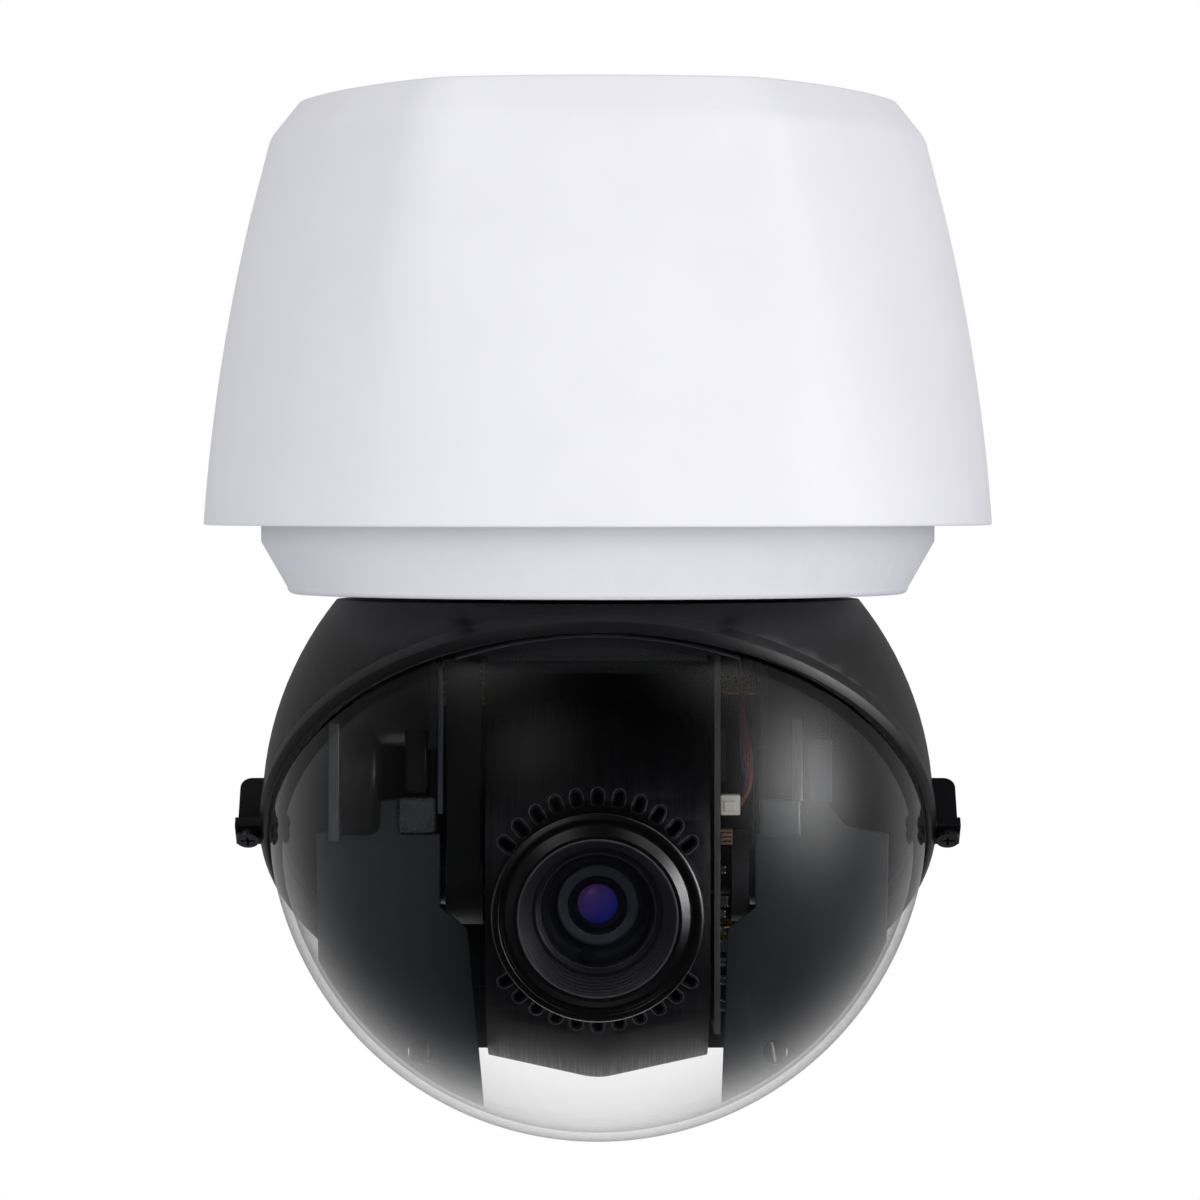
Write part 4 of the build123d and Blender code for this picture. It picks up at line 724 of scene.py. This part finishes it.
def build_right_side():
    """Right of the lens: bracket and stop block, then the board's pale edge, its connectors and parts."""
    block("bracket_post", (52.9, -16.2, 21.5), (55.4, -12.6, 43.8), 0.3, "head", "zinc_plated_sheet",
          "yoke_metal")
    block("bracket_web", (57.2, -13.8, 21.0), (63.5, -12.8, 38.0), 0.3, "head", "zinc_painted_shade", "yoke_metal")
    block("stop_block_right", (43.7, STOP_FRONT, 11.5), (55.2, STOP_BACK, 22.2), 1.4, "head", "nylon_smoked",
          "board_part")
    block("board_edge", BOARD_LOW - [0.05, 0.25, 0], (BOARD_HIGH[0] + 0.05, BOARD_LOW[1] + 0.05, 64), 0.1,
          "head", "fibre_glass_edge", "green_board")
    block("plug_housing", (BOARD_FACE, -13.2, 17.4), (38.7, -6.0, 23.0), 0.5, "head", "nylon_natural",
          "white_nylon", replaced=("head_board_parts",))
    block("plug_key", (34.2, -13.9, 18.6), (37.4, -13.1, 21.4), 0.3, "head", "nylon_natural", "white_nylon")
    block("socket_body", (BOARD_FACE, -13.0, 9.4), (36.6, -8.0, 13.6), 0.3, "head", "phenolic_brown",
          "board_part")
    pin_low, pin_pitch, pin_tall = 10.2, 1.2, 0.35
    for index in range(3):
        low = pin_low + pin_pitch * index
        block(f"socket_pin_{index}", (33.4, -13.35, low), (36.5, -12.95, low + pin_tall), 0.12, "head",
              "turned_brass", "brass")
    block("driver_chip", (BOARD_FACE, -4, 26), (35.0, 10, 40), 0.25, "head", "epoxy_black", "board_part")
    block("rear_socket", (BOARD_FACE, 2, -37), (39.2, 14, -29), 0.4, "head", "epoxy_black", "board_part")
    tops = (3.4, -4.8, -8.6, -13.2, -16.9, -21.7, -26.8, -33.0)
    for index, top in enumerate(tops):
        tall, out = (2.6, 2.0) if index % 3 == 1 else (1.7, 1.3)
        block(f"chip_part_{index}", (BOARD_FACE, -12.6, top - tall), (BOARD_FACE + out, -11.0, top), 0.12,
              "head", "epoxy_black", "board_part")
        for end, shift in (("low", -tall - 0.2), ("high", -0.4)):
            foot = top + shift
            block(f"chip_end_{index}_{end}", (BOARD_FACE, -12.8, foot),
                  (BOARD_FACE + out + 0.1, -10.9, foot + 0.6), 0.12, "head", "tinned_copper", "steel")


def build_belt_and_baffle():
    """The belt's teeth along its inner edge, a square wave, and the arc of the baffle's rolled lip."""
    low, high = about_tilt("tilt_belt")
    heights = np.repeat(np.linspace(4.0, 38.0, 36), 2)[1:-1]
    tooth = np.where(np.arange(len(heights)) // 2 % 2, 0.55, 0.05)
    teeth = np.stack([high[0] + tooth, np.full_like(tooth, low[1] + 1.0), heights], axis=-1)
    rod("belt_teeth", teeth, 0.24, "head", "chloroprene_rubber", sides=6)
    x = np.linspace(-37.0, 37.0, 60)
    front, curve, crown = -58.2, 117.7, 67.6
    lip = np.stack([x, np.full_like(x, front), crown - curve + np.sqrt(curve**2 - x**2)], axis=-1)
    rod("baffle_lip", lip, 0.45, "head", "zinc_painted_shade", sides=8)


def build_wires():
    """Three insulated wires side by side from the plug up and over to the slip ring."""
    for index, colour in enumerate(("pvc_brown", "pvc_red", "pvc_blue")):
        aside = WIRE_PITCH * (index - 1)
        knots = [(38.6, -9.5 + aside, 20.2), (41.0, -9.8 + aside, 23.5), (42.0 - index, -9.0 + aside, 29),
                 (41.2 - index, -6.0 + aside, 36), (39.8, aside, 44), (39.2, 4.0 + aside, 52),
                 (38.6, 7.0 + aside, 60), (37.4, 7.8 + aside, 66), (30.0, 8.0 + aside, 67.2),
                 (14.0, 9.0 + aside, 67.8), (aside, 9.6 + aside, 68.6), (aside, 7.0 + aside, 72.0),
                 (aside, 6.0 + aside, 84.4)]
        rod(f"wire_{index}", bent(knots, 90), WIRE_R, "head", colour,
            replaced=("wire_harness",) if index == 0 else ())


def mirrored(side, low, high):
    """A box's corners on the left (-1) or right (1) of the head, from those given for the right."""
    ends = sorted((side * low[0], side * high[0]))
    return (ends[0], low[1], low[2]), (ends[1], high[1], high[2])


def build_feet_and_clips():
    """On each side: the arm's foot beside the drum, and the clip seen through the shield's hole."""
    inner, back = DRUM_HALF + 0.5, 35.0
    feet = (("foot_arm", (inner, 31.0, -34.0), (41.4, back, -16.0)),
            ("foot_plate", (inner, 33.0, -46.0), (39.0, back, -20.0)),
            ("foot_tip", (inner, 33.0, -51.6), (36.6, back, -45.0)))
    clip_front = about_tilt("left_side_panel")[1][1] + 0.4
    for side, label in ((-1, "left"), (1, "right")):
        for name, low, high in feet:
            block(f"{name}_{label}", *mirrored(side, low, high), 0.4, "head", "black_oxide_sheet",
                  "yoke_metal")
        low, high = mirrored(side, (44.6, clip_front, -50.6), (51.4, clip_front + 1.6, -43.2))
        block(f"panel_clip_{label}", low, high, 0.5, "head", "chloroprene_rubber", "panel_charcoal")
        foot_x = low[0] + (4.6 if side < 0 else 3.4)
        spring = [(foot_x, clip_front, -50.0), (foot_x - side * 0.9, clip_front, -44.4)]
        rod(f"clip_spring_{label}", spring, 0.7, "head", "zinc_plated_sheet")


# ---------------------------------------------------------------- stage, lights, camera
def toward(tree, direction, sharp, strength):
    """A soft round light in the world: strength times e to the power sharp (cos angle - 1)."""
    unit = np.array(direction) / np.linalg.norm(direction)
    ray = add(tree, "ShaderNodeTexCoord").outputs["Generated"]
    near = add(tree, "ShaderNodeVectorMath", {"operation": "DOT_PRODUCT"},
               {0: ray, 1: tuple(unit)}).outputs["Value"]
    power = add(tree, "ShaderNodeMath", {"operation": "MULTIPLY_ADD"},
                {0: near, 1: sharp, 2: -sharp}).outputs[0]
    fall = add(tree, "ShaderNodeMath", {"operation": "EXPONENT"}, {0: power}).outputs[0]
    return add(tree, "ShaderNodeMath", {"operation": "MULTIPLY"}, {0: fall, 1: strength}).outputs[0]


# Soft boxes that only gloss sees: direction, how narrow, strength.
SOFT_BOXES = (
    ((0.96, -0.25, 0.14), 22.0, 7.0),
    ((-0.5, -0.28, 0.8), 30.0, 1.3),
    ((0.6, -0.28, 0.75), 26.0, 1.3),
    ((0.0, 0.65, -0.75), 8.0, 0.8),
    ((-1.0, 0.15, 0.1), 9.0, 0.2),
    ((1.0, 0.25, 0.2), 9.0, 0.2),
    ((-0.35, 0.2, 0.9), 12.0, 0.9),
    ((-0.38, -0.8, 0.42), 30.0, 0.5),
)
GLOSS_IN_FRONT, GLOSS_BEHIND = 0.012, 0.2
SURROUND = 0.60
# Name, place, height of the point on the pan axis that it faces, size (m) and power (W).
LAMPS = (
    ("key_right", (0.42, -1.4, 0.15), -0.14, 0.9, 8.4),
    ("fill_left", (-1.2, -0.7, 0.0), -0.14, 0.7, 1.2),
    ("top_soft", (0.0, -0.2, 1.1), -0.1, 0.9, 2.0),
    ("back_left", (-0.9, 0.9, 0.3), -0.12, 0.6, 3.0),
    ("back_right", (0.9, 0.9, 0.3), -0.12, 0.6, 3.0),
)


def build_stage():
    """White to the eye and through clear walls, a plain pale light on the object, and the lamps."""
    world = bpy.data.worlds.new("studio")
    bpy.context.scene.world = world
    world.use_nodes = True
    tree = world.node_tree
    tree.nodes.clear()
    paths = add(tree, "ShaderNodeLightPath").outputs
    seen = add(tree, "ShaderNodeMath", {"operation": "MAXIMUM"},
               {0: paths["Is Camera Ray"], 1: paths["Is Transmission Ray"]}).outputs[0]
    # Gloss sees a grey room behind the object, a dark one before it, and the soft boxes.
    ray = add(tree, "ShaderNodeTexCoord").outputs["Generated"]
    depth = add(tree, "ShaderNodeSeparateXYZ", inputs={0: ray}).outputs["Y"]
    gloss = add(tree, "ShaderNodeMapRange", {"interpolation_type": "SMOOTHSTEP"},
                {"Value": depth, "From Max": 0.9, "To Min": GLOSS_IN_FRONT, "To Max": GLOSS_BEHIND}).outputs[0]
    for direction, sharp, strength in SOFT_BOXES:
        box = toward(tree, direction, sharp, strength)
        gloss = add(tree, "ShaderNodeMath", {"operation": "ADD"}, {0: gloss, 1: box}).outputs[0]
    reflected = add(tree, "ShaderNodeBackground", inputs={"Color": (1, 1, 1, 1), "Strength": gloss})
    white = add(tree, "ShaderNodeBackground", inputs={"Color": (1, 1, 1, 1), "Strength": 1.0})
    soft = add(tree, "ShaderNodeBackground", inputs={"Color": linear("#ECECF6"), "Strength": SURROUND})
    lit = add(tree, "ShaderNodeMixShader",
              inputs={0: paths["Is Glossy Ray"], 1: soft.outputs[0], 2: reflected.outputs[0]})
    mixed = add(tree, "ShaderNodeMixShader", inputs={0: seen, 1: lit.outputs[0], 2: white.outputs[0]})
    add(tree, "ShaderNodeOutputWorld", inputs={"Surface": mixed.outputs[0]})
    for name, place, height, size, power in LAMPS:
        lamp(name, place, (0, 0, height), size, power)


def lamp(name, place, target, size, power):
    """A square soft box that faces a point."""
    data = bpy.data.lights.new(name, "AREA")
    data.shape = "SQUARE"
    data.size = size
    data.energy = power
    light = bpy.data.objects.new(name, data)
    bpy.context.scene.collection.objects.link(light)
    light.location = place
    light.visible_glossy = False
    aim(light, target)


def aim(obj, target):
    """Turns a light or the camera to face a point, with its top upwards."""
    obj.rotation_euler = (Vector(target) - Vector(obj.location)).to_track_quat("-Z", "Y").to_euler()


def build_floor():
    """A pale square floor 0.6 m under the mounting face. The eye sees it white and gloss sees through it."""
    size, drop = 3.0, 0.60
    corners = [(-size, -size, -drop), (size, -size, -drop), (size, size, -drop), (-size, size, -drop)]
    mesh = bpy.data.meshes.new("floor")
    mesh.from_pydata(corners, [], [(0, 1, 2, 3)])
    floor = bpy.data.objects.new("floor", mesh)
    bpy.context.scene.collection.objects.link(floor)
    material, tree, out = new_material("studio_floor")
    paths = add(tree, "ShaderNodeLightPath")
    seen = add(tree, "ShaderNodeMath", {"operation": "MAXIMUM"},
               {0: paths.outputs["Is Camera Ray"], 1: paths.outputs["Is Transmission Ray"]}).outputs[0]
    glow = add(tree, "ShaderNodeEmission", inputs={"Color": (1, 1, 1, 1), "Strength": 1.0})
    matte = add(tree, "ShaderNodeBsdfDiffuse", inputs={"Color": linear("#F2F2F4")})
    mixed = add(tree, "ShaderNodeMixShader", inputs={0: seen, 1: matte.outputs[0], 2: glow.outputs[0]})
    through = add(tree, "ShaderNodeBsdfTransparent")
    shown = add(tree, "ShaderNodeMixShader",
                inputs={0: paths.outputs["Is Glossy Ray"], 1: mixed.outputs[0], 2: through.outputs[0]})
    tree.links.new(shown.outputs[0], out.inputs["Surface"])
    mesh.materials.append(material)


def build_camera():
    """Level with the hood's lower edge, 1.2 m in front of the pan axis, tipped 1.3 degrees down."""
    distance, height, aside, dip, width = 1.206, -0.111, 0.0006, 0.0274, 0.3288
    data = bpy.data.cameras.new("camera")
    data.angle = 2 * math.atan(width / 2 / distance)
    data.clip_end = 50
    camera = bpy.data.objects.new("camera", data)
    bpy.context.scene.collection.objects.link(camera)
    camera.location = (aside, -distance, height)
    aim(camera, (aside, 0, height - dip))
    bpy.context.scene.camera = camera


finish_nodes()
build_hood()
build_bubble()
for copy in COPIES:
    softened(*copy)
build_bezel()
build_optics()
build_vent_lips()
build_left_side()
build_right_side()
build_belt_and_baffle()
build_wires()
build_feet_and_clips()
build_stage()
build_floor()
build_camera()
scene = bpy.context.scene
scene.view_settings.view_transform = "Standard"
